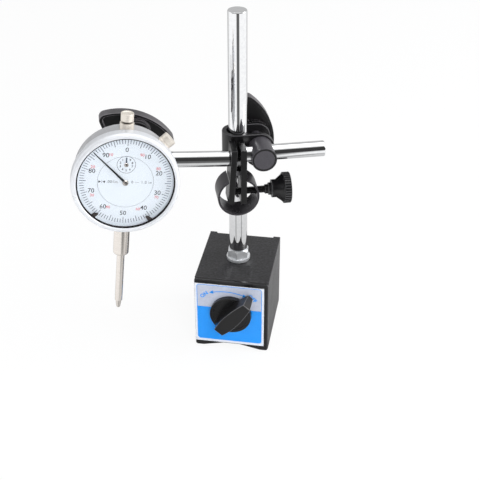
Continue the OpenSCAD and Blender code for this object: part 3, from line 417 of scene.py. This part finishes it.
def prism(outline, low, high):
    """A flat outline of (x, y) points raised from one height to another."""
    bm = bmesh.new()
    face = bm.faces.new([bm.verts.new((x, y, low)) for x, y in outline])
    raised = bmesh.ops.extrude_face_region(bm, geom=[face])["geom"]
    moved = [item for item in raised if isinstance(item, bmesh.types.BMVert)]
    bmesh.ops.translate(bm, verts=moved, vec=(0, 0, high - low))
    bmesh.ops.recalc_face_normals(bm, faces=bm.faces)
    return bm


def polar(centre, radius, angle):
    """A point at an angle in degrees, anticlockwise from the x axis."""
    turn = math.radians(angle)
    return (centre[0] + radius * math.cos(turn), centre[1] + radius * math.sin(turn))


def arc(centre, radius, start, end, steps):
    """Points along an arc, with angles in degrees."""
    return [polar(centre, radius, start + (end - start) * i / steps) for i in range(steps + 1)]


def knurl(bm, radius, low, high, count, depth):
    """Sinks every second stretch of a spun rim, so that ribs are left, with a painted highlight on the
    crests.
    """
    painted_highlight = worn_layer(bm)
    crest_highlight = 0.4
    rib_steps = 4
    sunk_steps = (0, 1)
    skin = 0.05
    sunk = set()
    for vert in bm.verts:
        reach = math.hypot(vert.co.x, vert.co.y)
        if low < vert.co.z < high and reach > radius - skin:
            share = math.atan2(vert.co.y, vert.co.x) / (2 * math.pi)
            if round(share * count * rib_steps) % rib_steps in sunk_steps:
                vert.co.x *= (reach - depth) / reach
                vert.co.y *= (reach - depth) / reach
                sunk.add(vert)
    for face in bm.faces:
        middle_z = face.calc_center_median().z
        if low < middle_z < high and sunk.isdisjoint(face.verts):
            face[painted_highlight] = crest_highlight


def add_piece(name, bm, place, finish, body, replaces=(), smooth=40.0, weighted=True):
    """Turns a bmesh into a piece that rides on a body."""
    bm.transform(place)
    bm.normal_update()
    mesh = bpy.data.meshes.new(name)
    bm.to_mesh(mesh)
    bm.free()
    mesh.materials.append(MATERIALS[finish])
    mesh.shade_smooth()
    mesh.set_sharp_from_angle(angle=math.radians(smooth))
    piece = bpy.data.objects.new(name, mesh)
    bpy.context.scene.collection.objects.link(piece)
    if weighted:
        piece.modifiers.new("weighted", "WEIGHTED_NORMAL").keep_sharp = True
    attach(piece, body)
    if replaces:
        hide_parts(*replaces)
    return piece


def node_copy(node):
    """The merged mesh of a solid, with flat faces whole again, in metres."""
    flat = math.radians(0.6)
    bm = bmesh.new()
    bm.from_mesh(frame["nodes"][node].data)
    bmesh.ops.remove_doubles(bm, verts=bm.verts, dist=MERGE_M)
    bmesh.ops.dissolve_limit(bm, angle_limit=flat, use_dissolve_boundaries=False,
                             verts=bm.verts, edges=bm.edges)
    return bm


def rub_band(bm, joint):
    """Marks the outward faces of a nut's outer band, round a joint, for a partial painted highlight."""
    painted_highlight = worn_layer(bm)
    band_highlight = 0.5
    hub_reach = 10 * MM
    least_facing = 0.3
    axis = joint_axis(joint)
    for face in bm.faces:
        reach = face.calc_center_median() - joint_pos(joint)
        outward = reach - axis * reach.dot(axis)
        if outward.length > hub_reach and face.normal.dot(outward.normalized()) > least_facing:
            face[painted_highlight] = max(face[painted_highlight], band_highlight)


def rounded_node(node, finish, slot, *passes, band=None):
    """A copy of a solid with its edges rounded in passes of (width, segments, wanted)."""
    sharp_angle = 24.0
    bm = node_copy(node)
    for width, segments, wanted in passes:
        bevel_sharp(bm, width * MM, segments, sharp_angle, wanted)
    if band:
        bm.normal_update()
        rub_band(bm, band)
    body = frame["nodes"][node]["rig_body"]
    return add_piece(node + "_piece", bm, Matrix(), finish, body, (node,))


def every_edge(edge):
    return True


def middle(edge):
    """The middle of an edge in millimetres."""
    return (edge.verts[0].co + edge.verts[1].co) / (2 * MM)


def sleeve(inner, outer, low, high):
    """The section of a plain tube, for a closed spin."""
    return [(inner, low), (outer, low), (outer, high), (inner, high)]


def chrome_bar(name, node, body, place, radius, start, end, rounding, steps=96):
    """A polished bar along z with rounded ends."""
    bm = turned([(0, start), (radius, start), (radius, end), (0, end)], steps)
    bevel_sharp(bm, rounding, 2)
    add_piece(name, bm, place, "chrome", body, (node,))


# Printing

def add_flat(bm, outline):
    """A flat face from (x, y) points."""
    bm.faces.new([bm.verts.new((x, y, 0)) for x, y in outline])


def add_band(bm, outer, inner, closed=True):
    """A flat strip between two outlines with as many points."""
    ring = [[bm.verts.new((x, y, 0)) for x, y in line] for line in (outer, inner)]
    count = len(outer)
    for i in range(count if closed else count - 1):
        k = (i + 1) % count
        bm.faces.new((ring[0][i], ring[0][k], ring[1][k], ring[1][i]))


def add_ring(bm, centre, outer, inner, steps):
    """A flat ring between two radii."""
    add_band(bm, arc(centre, outer, 0, 360, steps)[:-1], arc(centre, inner, 0, 360, steps)[:-1])


def add_text(bm, words, size, place, bold=0.0, spacing=1.0):
    """Flat figures, middle on the place's origin."""
    curve = bpy.data.curves.new("figures", "FONT")
    curve.body = words
    curve.size = size
    curve.offset = bold
    curve.space_character = spacing
    curve.align_x = "CENTER"
    curve.align_y = "CENTER"
    curve.resolution_u = 3
    holder = bpy.data.objects.new("figures", curve)
    bpy.context.scene.collection.objects.link(holder)
    bpy.context.view_layer.update()
    mesh = bpy.data.meshes.new_from_object(holder.evaluated_get(bpy.context.evaluated_depsgraph_get()))
    mesh.transform(place)
    bm.from_mesh(mesh)
    bpy.data.objects.remove(holder)
    bpy.data.curves.remove(curve)
    bpy.data.meshes.remove(mesh)


def lift_print(bm, name, plane, finish, body):
    """Puts flat printing just above its plane, facing out."""
    bmesh.ops.recalc_face_normals(bm, faces=bm.faces)
    turned_in = [face for face in bm.faces if face.normal.z < 0]
    bmesh.ops.reverse_faces(bm, faces=turned_in)
    return add_piece(name, bm, plane @ shift(0, 0, PRINT_LIFT), finish, body, weighted=False)


# Base

def outer_block_edge(edge):
    """Edges of the block's outside, not those of its bores or its parting."""
    rotor_bore_r = 14.4
    stud_hole_r = 5.0
    parting_half = 1.8
    at = middle(edge)
    in_bore = math.hypot(at.x, at.z - SWITCH_Z) < rotor_bore_r
    at_stud = math.hypot(at.x, at.y) < stud_hole_r
    return abs(at.x) > parting_half and not in_bore and not at_stud


def along_y(edge):
    least_share = 0.9
    run = edge.verts[0].co - edge.verts[1].co
    return abs(run.y) > least_share * run.length


def base_block():
    for node in ("pole_left", "pole_right"):
        rounded_node(node, "paint", "black_paint", (0.9, 3, outer_block_edge))
    front, back = -29.9, -27.6
    side = 20.0
    hole_r = 6.0

    def off_hole(at):
        return math.hypot(at.x, at.z - SWITCH_Z) > hole_r

    def corner(edge):
        return along_y(edge) and abs(middle(edge).x) > side

    def front_rim(edge):
        at = middle(edge)
        return at.y < front and off_hole(at)

    def back_rim(edge):
        at = middle(edge)
        return at.y > back and off_hole(at)

    rounded_node("front_cover", "enamel", "black_enamel", (1.5, 3, corner), (1.2, 3, front_rim),
                 (0.35, 2, back_rim))


def switch_arrow(ink):
    """The curved arrow with two heads over the switch."""
    centre = (-3.5, 10.9)
    radius = 36.1
    line_half = 0.32
    first, last = 108.2, 66.8
    under_head = 3
    head_half = 1.45
    head_angle = math.degrees(2.9 / radius)
    lines = [arc(centre, radius + side, first - under_head, last + under_head, 24)
             for side in (line_half, -line_half)]
    add_band(ink, *lines, False)
    for angle, sign in ((first, -1), (last, 1)):
        back = angle + sign * head_angle
        add_flat(ink, [polar(centre, radius, angle), polar(centre, radius + head_half, back),
                       polar(centre, radius - head_half, back)])


def label_print():
    """Silver field, blue block, line frame, arrow and words on the plate of the base's front."""
    plate = BASE @ FORWARD @ shift(0, 0, LABEL_FRONT)
    left, right, bottom, top = -23.2, 20.9, 6.2, 51.6
    block_top = 33.5
    corner = 2.0
    line = 0.4
    switch = (0, SWITCH_Z)
    notch_r = 8.0
    notch_angle = 26
    word_size, word_bold = 3.9, 0.14

    def upper_outline(inset):
        """Round the field, from the block's right end to its left end."""
        return ([(right - inset, block_top)]
                + arc((right - corner, top - corner), corner - inset, 0, 90, 6)
                + arc((left + corner, top - corner), corner - inset, 90, 180, 6)
                + [(left + inset, block_top)])

    field = bmesh.new()
    add_flat(field, upper_outline(0) + arc(switch, notch_r, 180 - notch_angle, notch_angle, 24))
    lift_print(field, "label_field", plate, "silver", "base")
    ink = bmesh.new()
    add_flat(ink, arc((left + corner, bottom + corner), corner, 180, 270, 6)
             + arc((right - corner, bottom + corner), corner, 270, 360, 6) + [(right, block_top)]
             + arc(switch, notch_r, notch_angle, -180 - notch_angle, 32) + [(left, block_top)])
    add_band(ink, upper_outline(0), upper_outline(line), False)
    switch_arrow(ink)
    for words, x, y, tilt in (("ON", -18.1, 43.2, 42), ("OFF", 14.4, 43.4, -42)):
        place = shift(x, y, 0) @ Matrix.Rotation(math.radians(tilt), 4, "Z")
        add_text(ink, words, word_size, place, word_bold)
    lift_print(ink, "label_lines", plate @ shift(0, 0, PRINT_LIFT), "blue", "base")


# Switch knob

def boat(tail, tip, middle_half, tail_half, tip_half, height):
    """A boat outline along y, widest a little past the middle, as points at one height."""
    widest = 1.5
    tail_steps, tip_steps = 8, 10
    stations = [(tail, tail_half, i / tail_steps) for i in range(tail_steps, 0, -1)]
    stations += [(tip, tip_half, i / tip_steps) for i in range(tip_steps + 1)]
    side = []
    for end, end_half, share in stations:
        half = middle_half - (middle_half - end_half) * share ** 2
        side.append((half, widest + (end - widest) * share))
    return [(x, y, height) for x, y in side] + [(-x, y, height) for x, y in reversed(side)]


def switch_knob():
    place = BASE @ shift(0, 0, SWITCH_Z) @ Matrix.Rotation(math.radians(POINTER_TURN), 4, "Y") @ FORWARD
    disc_r = 14
    lip_r, dish_r = 12, 11.7
    back, disc_front = 30.75, 33.75
    dish = disc_front - 0.8
    handle_foot, handle_top = dish - 0.2, 43.25
    rounding = 0.3
    disc = turned([(0, back), (disc_r, back), (disc_r, disc_front), (lip_r, disc_front), (dish_r, dish),
                   (0, dish)])
    bevel_sharp(disc, rounding, 3)
    add_piece("switch_disc", disc, place, "black", "switch", ("switch_knob",))
    handle = bmesh.new()
    rings = []
    for points in (boat(-10.6, 21.5, 5.3, 3.6, 1.95, handle_foot),
                   boat(-10.3, 19.7, 5.15, 3.4, 3.0, handle_top)):
        rings.append([handle.verts.new(point) for point in points])
        handle.faces.new(rings[-1])
    edges = [handle.edges.get((ring[i - 1], ring[i])) for ring in rings for i in range(len(ring))]
    bmesh.ops.bridge_loops(handle, edges=edges)
    bmesh.ops.recalc_face_normals(handle, faces=handle.faces)
    bevel_sharp(handle, rounding, 3)
    add_piece("switch_handle", handle, place, "plastic", "switch")


# Column and clamps

def column_bar():
    chrome_bar("column_bar", "column", "column", BASE, COLUMN_R, NUT_TOP, COLUMN_TOP, 0.8, 128)
    rounded_node("flange_nut", "zinc", "zinc", (0.2, 2, every_edge))


def clamps():
    for name in ("clamp_strap", "rod_strap"):
        rounded_node(name, "oxide", "black_oxide", (0.5, 2, every_edge))
    # The wing nuts also take a painted highlight on their outer band
    for name in ("clamp_wing", "dial_wing"):
        rounded_node(name, "wing", "black_plastic", (0.6, 3, every_edge), band=name + "_turn")
    # A flat black ring on the eyebolt's face: painted shade where a groove would be
    groove_outer, groove_inner = 7.5, 6.5
    ring = bmesh.new()
    add_ring(ring, (0, 0), groove_outer, groove_inner, 72)
    head = ARM @ shift(BOLT_OFFSET, 0, 0) @ FORWARD @ shift(0, 0, EYE_FRONT)
    lift_print(ring, "painted_groove_shade", head, "black", "eyebolt")


# Arm and fine adjuster

def arm_bars():
    rounding = 0.6
    pin_rise = 10.3
    right_start, right_end = 2.2, 52.5
    left_start, left_end = -79.85, -5.35
    right_place = ARM @ shift(0, -ROD_Y, 0) @ RIGHTWARD
    left_place = FINE @ shift(0, 0, pin_rise) @ RIGHTWARD
    chrome_bar("right_bar", "right_rod", "arm", right_place, ROD_R, right_start, right_end, rounding)
    chrome_bar("left_bar", "left_rod", "fine_arm", left_place, ROD_R, left_start, left_end, rounding)
    for name in ("right_leg", "left_leg"):
        rounded_node(name, "black", "black_oxide", (0.3, 2, every_edge))
    rounded_node("spring_ring", "spring", "black_oxide", (0.15, 2, every_edge))


def thumb_thread(place):
    """The adjusting screw's core, with a ridge wound round it."""
    tip, end = -5.4, 28.6
    taper = 1
    tip_r, core_r = 1.4, 2.1
    root_r, crest_r = 2.0, 2.5
    ridge = 0.5
    pitch = 0.8
    turns = 27
    steps = 20
    core = turned([(0, tip), (tip_r, tip), (core_r, tip + taper), (core_r, end), (0, end)], 32)
    section = [(root_r, 0), (crest_r, ridge / 2), (root_r, ridge)]
    face = core.faces.new([core.verts.new((radius, 0, tip + taper + z)) for radius, z in section])
    bmesh.ops.spin(core, geom=[face], cent=(0, 0, 0), axis=(0, 0, 1), angle=2 * math.pi * turns,
                   steps=steps * turns, dvec=(0, 0, pitch / steps))
    bmesh.ops.recalc_face_normals(core, faces=core.faces)
    add_piece("thumb_thread", core, place, "oxide", "thumb_screw", ("thumb_screw",),
              weighted=False)


def thumb_wheel(place):
    """The knob on the adjusting screw: two steps, a cone, a ribbed rim and a sunk face."""
    bore_r, collar_r, step_r, cone_r, sunk_r, rim_r = 2.55, 3, 4, 5.8, 7, 10
    start, collar, step, cone, rim, end = 14.7, 17, 19, 22, 26.3, 31.0
    face = end - 1.1
    slope = 0.3
    margin = 0.8
    ribs, rib_depth = 36, 0.5
    profile = [(bore_r, start), (collar_r, start), (collar_r, collar), (step_r, collar), (step_r, step),
               (cone_r, step), (cone_r, cone), (9.2, rim), (rim_r - slope, rim), (rim_r, rim + slope),
               (rim_r, rim + margin), (rim_r, end - margin), (rim_r, end - slope), (rim_r - slope, end),
               (sunk_r, end), (sunk_r, face), (bore_r, face)]
    knob = turned(profile, 8 * ribs, True)
    knurl(knob, rim_r, rim + 0.5, end - 0.5, ribs, rib_depth)

    def step_edge(edge):
        heights = [vert.co.z for vert in edge.verts]
        return abs(heights[0] - heights[1]) < 0.01 and heights[0] < rim - 1

    bevel_sharp(knob, 0.25, 2, 50, step_edge)
    add_piece("thumb_wheel", knob, place, "plastic", "thumb_knob", ("thumb_knob",))


def adjusting_screw():
    drop = 26.3
    place = ARM @ shift(0, -ROD_Y, -drop) @ RIGHTWARD
    thumb_thread(place)
    thumb_wheel(place)


# Indicator

def indicator_case():
    rounded_node("case_body", "lacquer", "silver_lacquer", (0.3, 2, every_edge))
    rounded_node("back_cover", "lacquer", "silver_lacquer", (0.8, 3, every_edge))
    rounded_node("cover_screws", "steel", "steel", (0.15, 2, every_edge))
    rounded_node("dial_clevis", "oxide", "black_oxide", (0.3, 2, every_edge))
    rounded_node("lug_screw", "steel", "steel", (0.2, 2, every_edge))


def bezel_ring():
    """The bezel: a ribbed band, a rounded lip and the seat of the crystal inside."""
    bore_r, shoulder_r, band_r, lip_r, seat_r, inner_r = 29.25, 31.45, 31.5, 28.5, 29.2, 28.6
    back, band_low, band_high, front = 13.5, 14.5, 18.2, 21.0
    crystal_front, crystal_back, ledge = 20.29, 18.89, 15.49
    edge = 0.05
    ribs, rib_depth = 160, 0.08
    profile = [(bore_r, back), (31.2, back), (shoulder_r, 13.8), (shoulder_r, 14.4), (band_r, band_low),
               (band_r, band_high), (shoulder_r, 18.3), (shoulder_r, 19.2), (31.2, 20.0), (30.6, 20.7),
               (29.8, front), (29.0, 20.95), (lip_r, 20.5), (lip_r, crystal_front),
               (seat_r, crystal_front), (seat_r, crystal_back), (inner_r, crystal_back), (inner_r, ledge),
               (bore_r, ledge)]
    ring = turned(profile, 4 * ribs, True)
    knurl(ring, band_r, band_low - edge, band_high + edge, ribs, rib_depth)
    add_piece("bezel_rim", ring, DIAL_FACE, "rim", "bezel", ("bezel",), 50)


def stem_tube(axis):
    stem_r, neck_r, bore_r = 4.7625, 4.0, 3.2
    foot, shoulder, top = -52.5, -31.9, -28
    stem = turned([(bore_r, foot), (stem_r, foot), (stem_r, shoulder), (neck_r, shoulder), (neck_r, top),
                   (bore_r, top)], 96, True)

    def foot_edge(edge):
        at = edge.verts[0].co
        return at.z < foot + 0.5 and at.xy.length > neck_r

    bevel_sharp(stem, 1.3, 4, 40, foot_edge)
    add_piece("stem_tube", stem, axis, "nickel", "dial_case", ("stem",))


def lift_cap(axis):
    """The collar on the case, the cap over it and the rubber washer between them."""
    collar = turned(sleeve(inner=2.45, outer=4.15, low=27, high=33.2), 96, True)
    bevel_sharp(collar, 0.35, 2)
    add_piece("top_collar", collar, axis, "satin", "dial_case", ("top_bush",))
    cap_r = 3.75
    foot, top = 34.3, 38.9
    cap = turned([(0, foot), (cap_r, foot), (cap_r, top), (2.9, top), (2.7, top - 0.3),
                  (0, top - 0.4)], 96)
    bevel_sharp(cap, 0.4, 3)
    add_piece("lift_cap", cap, axis, "satin", "plunger", ("stop_cap",))
    washer = turned(sleeve(inner=2.4, outer=3.0, low=33.45, high=foot + 0.2), 64, True)
    bevel_sharp(washer, 0.2, 2)
    add_piece("cap_washer", washer, axis, "rubber", "plunger")


def contact_tip(axis):
    """The point below the spindle: a collar, a cone and a ball end."""
    foot = -83.0
    collar_r, ball_r = 2.325, 1.25
    cone, ball, end = foot - 3.1, foot - 7.55, foot - 8.8
    turns = (0.2, 0.5, 0.8, 1.1, 1.35)
    round_end = [(ball_r * math.cos(turn), ball - ball_r * math.sin(turn)) for turn in turns]
    point = turned([(0, foot), (collar_r, foot), (collar_r, cone), (1.9, cone), (1.35, foot - 7.4)]
                   + round_end + [(0, end)], 64)
    bevel_sharp(point, 0.15, 2, 45)
    add_piece("contact_tip", point, axis, "nickel", "plunger", ("contact_point",))


def stem_and_spindle():
    axis = DIAL @ shift(0, -SPINDLE_Y, 0)
    stem_tube(axis)
    lift_cap(axis)
    contact_tip(axis)


def bezel_screw():
    """The lock at the case's shoulder, a grooved head on a short shank."""
    angle = 43.7
    tilt = Matrix.Rotation(math.radians(90 - angle), 4, "Y")
    place = DIAL @ tilt @ shift(0, -SPINDLE_Y, 0)
    shank_r, head_r, groove_r = 1.45, 4.25, 3.95
    start = 27
    low = CASE_R + 0.4
    top = low + 5.5
    head = turned([(0, start), (shank_r, start), (shank_r, low), (head_r, low), (head_r, low + 1.6),
                   (groove_r, low + 1.8), (groove_r, low + 2.1), (head_r, low + 2.3), (head_r, top),
                   (0, top)], 64)
    bevel_sharp(head, 0.45, 3)
    add_piece("lock_head", head, place, "satin", "bezel_lock", ("bezel_lock",))


def main_hand():
    low, high = 17.6, 17.9
    root_half, tip_half = 0.75, 0.2
    length = 26.2
    hub_r, crown_r = 1.8, 1.1
    turn = Matrix.Rotation(math.radians(45.6), 4, "Z")
    pointer = prism([(-root_half, 0), (root_half, 0), (tip_half, length), (-tip_half, length)], low, high)
    bevel_sharp(pointer, 0.06, 1)
    add_piece("main_pointer", pointer, DIAL_FACE @ turn, "hand", "centre", ("main_hand",))
    hub = turned([(0, low - 0.3), (hub_r, low - 0.3), (hub_r, low + 0.5), (crown_r, low + 0.75),
                  (0, low + 0.75)], 48)
    bevel_sharp(hub, 0.15, 2)
    add_piece("main_hub", hub, DIAL_FACE, "nickel", "centre")


def counter_hand():
    low, high = FACE_Y + 0.35, FACE_Y + 0.5
    half = 0.4
    tail, length = -0.5, 4.6
    hub_r = 1.3
    place = DIAL_FACE @ shift(0, COUNTER_UP, 0)
    pointer = prism([(-half, tail), (half, tail), (half, length), (-half, length)], low, high)
    bevel_sharp(pointer, 0.04, 1)
    add_piece("counter_pointer", pointer, place, "slate", "takeup", ("counter_hand",))
    hub = turned([(0, low - 0.1), (hub_r, low - 0.1), (hub_r, high + 0.1), (0, high + 0.25)], 40)
    bevel_sharp(hub, 0.1, 2)
    add_piece("counter_hub", hub, place, "nickel", "takeup")


def limit_hands():
    """Two slanted flags that reach in from under the crystal's black ring."""
    low, high = 18.19, 18.49
    flags = {
        "left": [(-19.6, -20.6), (-17.3, -19.2), (-15.5, -19.3), (-14.8, -20.1), (-17.3, -22.5)],
        "right": [(12.4, -21.6), (12.9, -20.9), (14.3, -20.7), (16.9, -22.8), (14.5, -24.4)],
    }
    for side, outline in flags.items():
        flag = prism(outline, low, high)
        bevel_sharp(flag, 0.05, 1)
        add_piece("limit_flag_" + side, flag, DIAL_FACE, "limit", "limit_" + side,
                  ("limit_hand_" + side,))


# Dial

def tick(bm, angle, inner, outer, width):
    """A mark at a clockwise angle from zero."""
    turn = math.radians(angle)
    along = Vector((math.sin(turn), math.cos(turn), 0))
    across = Vector((along.y, -along.x, 0)) * width / 2
    corners = (along * inner - across, along * inner + across,
               along * outer + across, along * outer - across)
    bm.faces.new([bm.verts.new(corner) for corner in corners])


def dial_ticks(face):
    """A hundred marks, every fifth one longer."""
    count = 100
    outer = 26.5
    long_from, short_from = 22.7, 24.0
    width = 0.36
    ticks = bmesh.new()
    for i in range(count):
        inner = long_from if i % 5 == 0 else short_from
        tick(ticks, 360 / count * i, inner, outer, width)
    lift_print(ticks, "dial_ticks", face, "grey", "bezel")


def dial_figures(face):
    """Black figures clockwise, with red ones for the other way beside them."""
    numerals = bmesh.new()
    red = bmesh.new()
    numeral_r = 20.2
    numeral_size, numeral_bold = 3.95, 0.03
    red_size, red_bold = 2.6, 0.04
    lean = 0.3
    beside = {1: (-3.05, 1.0), 2: (-0.5, 2.9), 3: (-0.4, -2.9), 4: (-3.3, -0.9),
              6: (2.9, -0.2), 7: (0.7, -2.9), 8: (0.4, 2.6), 9: (2.9, 0.5)}
    for i in range(10):
        x, y = polar((-lean, 0), numeral_r, 90 - 36 * i)
        add_text(numerals, str(10 * i), numeral_size, shift(x, y, 0), numeral_bold)
        if i in beside:
            dx, dy = beside[i]
            add_text(red, str(100 - 10 * i), red_size, shift(x + dx, y + dy, 0), red_bold)
    lift_print(numerals, "dial_figures", face, "ink", "bezel")
    lift_print(red, "return_figures", face, "red", "bezel")


def counter_print(face):
    """The small counter, the unit between two arrows, the range and the circle round them."""
    counter = (0, COUNTER_UP)
    ring_outer, ring_inner = 5.4, 5.18
    figure_r, figure_size, figure_bold = 3.6, 1.9, 0.04
    arrow, rise = 0.75, 0.8
    bar_left, bar_right = -13.75, -13.55
    circle_outer, circle_inner = 16.2, 16.07
    inner = bmesh.new()
    add_ring(inner, counter, ring_outer, ring_inner, 64)
    for i in range(1, 10):
        x, y = polar(counter, figure_r, 90 + 36 * i)
        add_text(inner, str(i), figure_size, shift(x, y, 0), figure_bold)
    for x, side in ((-14.8, arrow), (-12.5, -arrow)):
        add_flat(inner, [(x - side, rise), (x + side, 0), (x - side, -rise)])
    add_band(inner, [(bar_left, -rise), (bar_left, rise)], [(bar_right, -rise), (bar_right, rise)], False)
    add_text(inner, ".001in", 2.5, shift(-7.7, 0, 0), spacing=1.05)
    add_text(inner, "0 \u2014 1.0 in", 2.4, shift(9.2, 0, 0), spacing=1.15)
    lift_print(inner, "counter_figures", face, "ink", "dial_case")
    thin = bmesh.new()
    add_ring(thin, (0, 0), circle_outer, circle_inner, 128)
    lift_print(thin, "dial_circle", face, "grey", "dial_case")


def dial_print():
    bezel_turn = Matrix.Rotation(math.radians(-1.0), 4, "Z")
    face = DIAL_FACE @ shift(0, 0, FACE_Y)
    dial_ticks(face @ bezel_turn)
    dial_figures(face @ bezel_turn)
    counter_print(face)


# Solids that keep their shape and only take a finish

def finish_solids():
    kept = {
        "paint": ("pole_spacer", "rear_plug"),
        "plate": ("label_plate",),
        "magnet": ("magnet_rotor",),
        "steel": ("rotor_shaft", "clamp_washer", "dial_washer", "fulcrum_pin", "guide_pin",
                  "return_spring", "rack_pinion", "centre_pinion", "hairspring"),
        "bolt": ("clamp_eyebolt",),
        "brass": ("clamp_insert", "dial_insert", "stem_bush", "rear_plate", "middle_plate", "front_plate",
                  "pillars", "drive_gear", "takeup_gear"),
        "nickel": ("spindle",),
        "dial": ("inner_dial", "dial_ring"),
        "crystal": ("crystal",),
        "rubber": ("gasket",),
    }
    for finish, nodes in kept.items():
        for node in nodes:
            mesh = frame["nodes"][node].data
            mesh.materials.clear()
            mesh.materials.append(MATERIALS[finish])


# Studio

def floor():
    """The ground: white to the eye, and the room's light and dark where metal mirrors it."""
    half_side = 6.0
    white_share = 0.9
    room_stops = ((0, 0.6), (0.146, 0.6), (0.33, 1), (0.972, 1), (0.989, 0.12), (1, 0.12))
    streak_stops = ((0, 1), (0.87, 1), (0.9, 0.4), (0.92, 0.4), (0.95, 1), (1, 1))
    # Distances from the column's axis in metres: where the shade, the streak's end and the room begin
    shade_from = 0.05
    streak_from, streak_to = 0.16, 0.2
    room_from, room_to = 0.15, 0.3
    shade_level, pale_level = 0.55, 0.95
    bm = bmesh.new()
    bmesh.ops.create_grid(bm, x_segments=1, y_segments=1, size=half_side)
    mesh = bpy.data.meshes.new("floor")
    bm.to_mesh(mesh)
    bm.free()
    finish = Finish("pale_floor")
    finish.set(Base_Color=(0.9, 0.9, 0.9, 1.0), Roughness=0.9, Specular_IOR_Level=0.0)
    light = finish.node("ShaderNodeLightPath").outputs
    place = finish.node("ShaderNodeTexCoord").outputs["Object"]
    share = finish.group(FRONT_SHARE, Vector=place).outputs["Share"]
    reach = finish.vector("LENGTH", place)
    # For the rays that metal mirrors the floor glows with painted light: a painted dark room in front, a
    # painted dark streak and painted shade round the column
    room = finish.ramp(share, room_stops)
    far = finish.remap(reach, room_from, room_to, 0, 1)
    streak = finish.ramp(share, streak_stops)
    streak = finish.blend(finish.remap(reach, streak_from, streak_to, 0, 1), streak, 1.0)
    shade = finish.remap(reach, shade_from, room_to, shade_level, pale_level)
    near = finish.math("MULTIPLY", shade, streak)
    mirrored = finish.blend(far, near, room)
    glow = finish.node("ShaderNodeEmission")
    finish.link(mirrored, glow.inputs["Color"])
    white = finish.node("ShaderNodeEmission")
    shown = finish.node("ShaderNodeMixShader")
    seen = finish.math("MAXIMUM", light["Is Camera Ray"], light["Is Transmission Ray"])
    finish.link(finish.math("MULTIPLY", seen, white_share), shown.inputs["Fac"])
    finish.link(finish.shader.outputs["BSDF"], shown.inputs[1])
    finish.link(white.outputs["Emission"], shown.inputs[2])
    mix = finish.node("ShaderNodeMixShader")
    finish.link(light["Is Glossy Ray"], mix.inputs["Fac"])
    finish.link(shown.outputs["Shader"], mix.inputs[1])
    finish.link(glow.outputs["Emission"], mix.inputs[2])
    finish.link(mix.outputs["Shader"], finish.tree.nodes["Material Output"].inputs["Surface"])
    mesh.materials.append(finish.material)
    ground = bpy.data.objects.new("floor", mesh)
    bpy.context.scene.collection.objects.link(ground)


def studio_world():
    """The surroundings: white to the eye, an even light, and light and dark walls in the metal."""
    lit_colour = (0.95, 0.97, 1, 1)
    lit_strength = 0.45
    overhead_from, overhead_to = 0.72, 0.9
    room_stops = ((0, 0.52), (0.15, 0.52), (0.35, 1), (0.55, 1), (0.68, 0.04), (1, 0.04))
    world = bpy.data.worlds.new("studio")
    bpy.context.scene.world = world
    world.use_nodes = True
    graph = Graph(world.node_tree)
    graph.tree.nodes.clear()
    light = graph.node("ShaderNodeLightPath").outputs
    way = graph.node("ShaderNodeTexCoord").outputs["Generated"]
    share = graph.group(FRONT_SHARE, Vector=way).outputs["Share"]
    room = graph.ramp(share, room_stops)
    upward = graph.split(way).outputs["Z"]
    overhead = graph.remap(upward, overhead_from, overhead_to, 0, 1, "SMOOTHSTEP")
    mirrored = graph.blend(overhead, room, 1.0)
    seen = graph.node("ShaderNodeBackground")
    graph.link(graph.blend(light["Is Glossy Ray"], 1.0, mirrored), seen.inputs["Color"])
    lit = graph.node("ShaderNodeBackground")
    lit.inputs["Color"].default_value = lit_colour
    lit.inputs["Strength"].default_value = lit_strength
    direct = graph.math("MAXIMUM", light["Is Camera Ray"], light["Is Glossy Ray"])
    mix = graph.node("ShaderNodeMixShader")
    graph.link(graph.math("MAXIMUM", direct, light["Is Transmission Ray"]), mix.inputs["Fac"])
    graph.link(lit.outputs["Background"], mix.inputs[1])
    graph.link(seen.outputs["Background"], mix.inputs[2])
    graph.link(mix.outputs["Shader"], graph.node("ShaderNodeOutputWorld").inputs["Surface"])


def softbox(name, place, target, size, watts, mirrored=True):
    """A soft rectangular lamp that points at the target, and that metal may mirror or not."""
    light = bpy.data.lights.new(name, "AREA")
    light.shape = "RECTANGLE"
    light.size, light.size_y = size
    light.energy = watts
    lamp = bpy.data.objects.new(name, light)
    lamp.location = place
    lamp.visible_glossy = mirrored
    lamp.rotation_euler = (Vector(target) - Vector(place)).to_track_quat("-Z", "Y").to_euler()
    bpy.context.scene.collection.objects.link(lamp)


def camera():
    """The camera that was fitted to the photograph's frame."""
    focal_px = 1010.77
    image_px = 480
    yaw, pitch, roll = (math.radians(angle) for angle in (-9.534, 32.981, -0.189))
    eye = Vector((96.18, -565.74, 441.34)) * MM
    data = bpy.data.cameras.new("view")
    data.sensor_width = 36.0
    data.lens = focal_px * data.sensor_width / image_px
    view = bpy.data.objects.new("view", data)
    tilt = math.pi / 2 - pitch
    turn = Matrix.Rotation(-yaw, 4, "Z") @ Matrix.Rotation(tilt, 4, "X") @ Matrix.Rotation(roll, 4, "Z")
    view.matrix_world = Matrix.Translation(eye) @ turn
    bpy.context.scene.collection.objects.link(view)
    bpy.context.scene.camera = view


def studio():
    bpy.context.scene.view_settings.view_transform = "Standard"
    floor()
    studio_world()
    target = (-0.01, -0.02, 0.12)
    softbox("key", (0.5, -1.2, 0.85), target, size=(0.9, 0.9), watts=15.5, mirrored=False)
    softbox("side", (1.3, 0.1, 0.7), target, size=(0.9, 1.2), watts=15)
    softbox("top", (0.0, 0.3, 1.6), target, size=(1.2, 1.2), watts=5)
    softbox("left", (-1.3, -0.3, 0.2), target, size=(0.9, 0.9), watts=5, mirrored=False)
    camera()


base_block()
label_print()
switch_knob()
column_bar()
clamps()
arm_bars()
adjusting_screw()
indicator_case()
bezel_ring()
stem_and_spindle()
bezel_screw()
main_hand()
counter_hand()
limit_hands()
dial_print()
finish_solids()
studio()
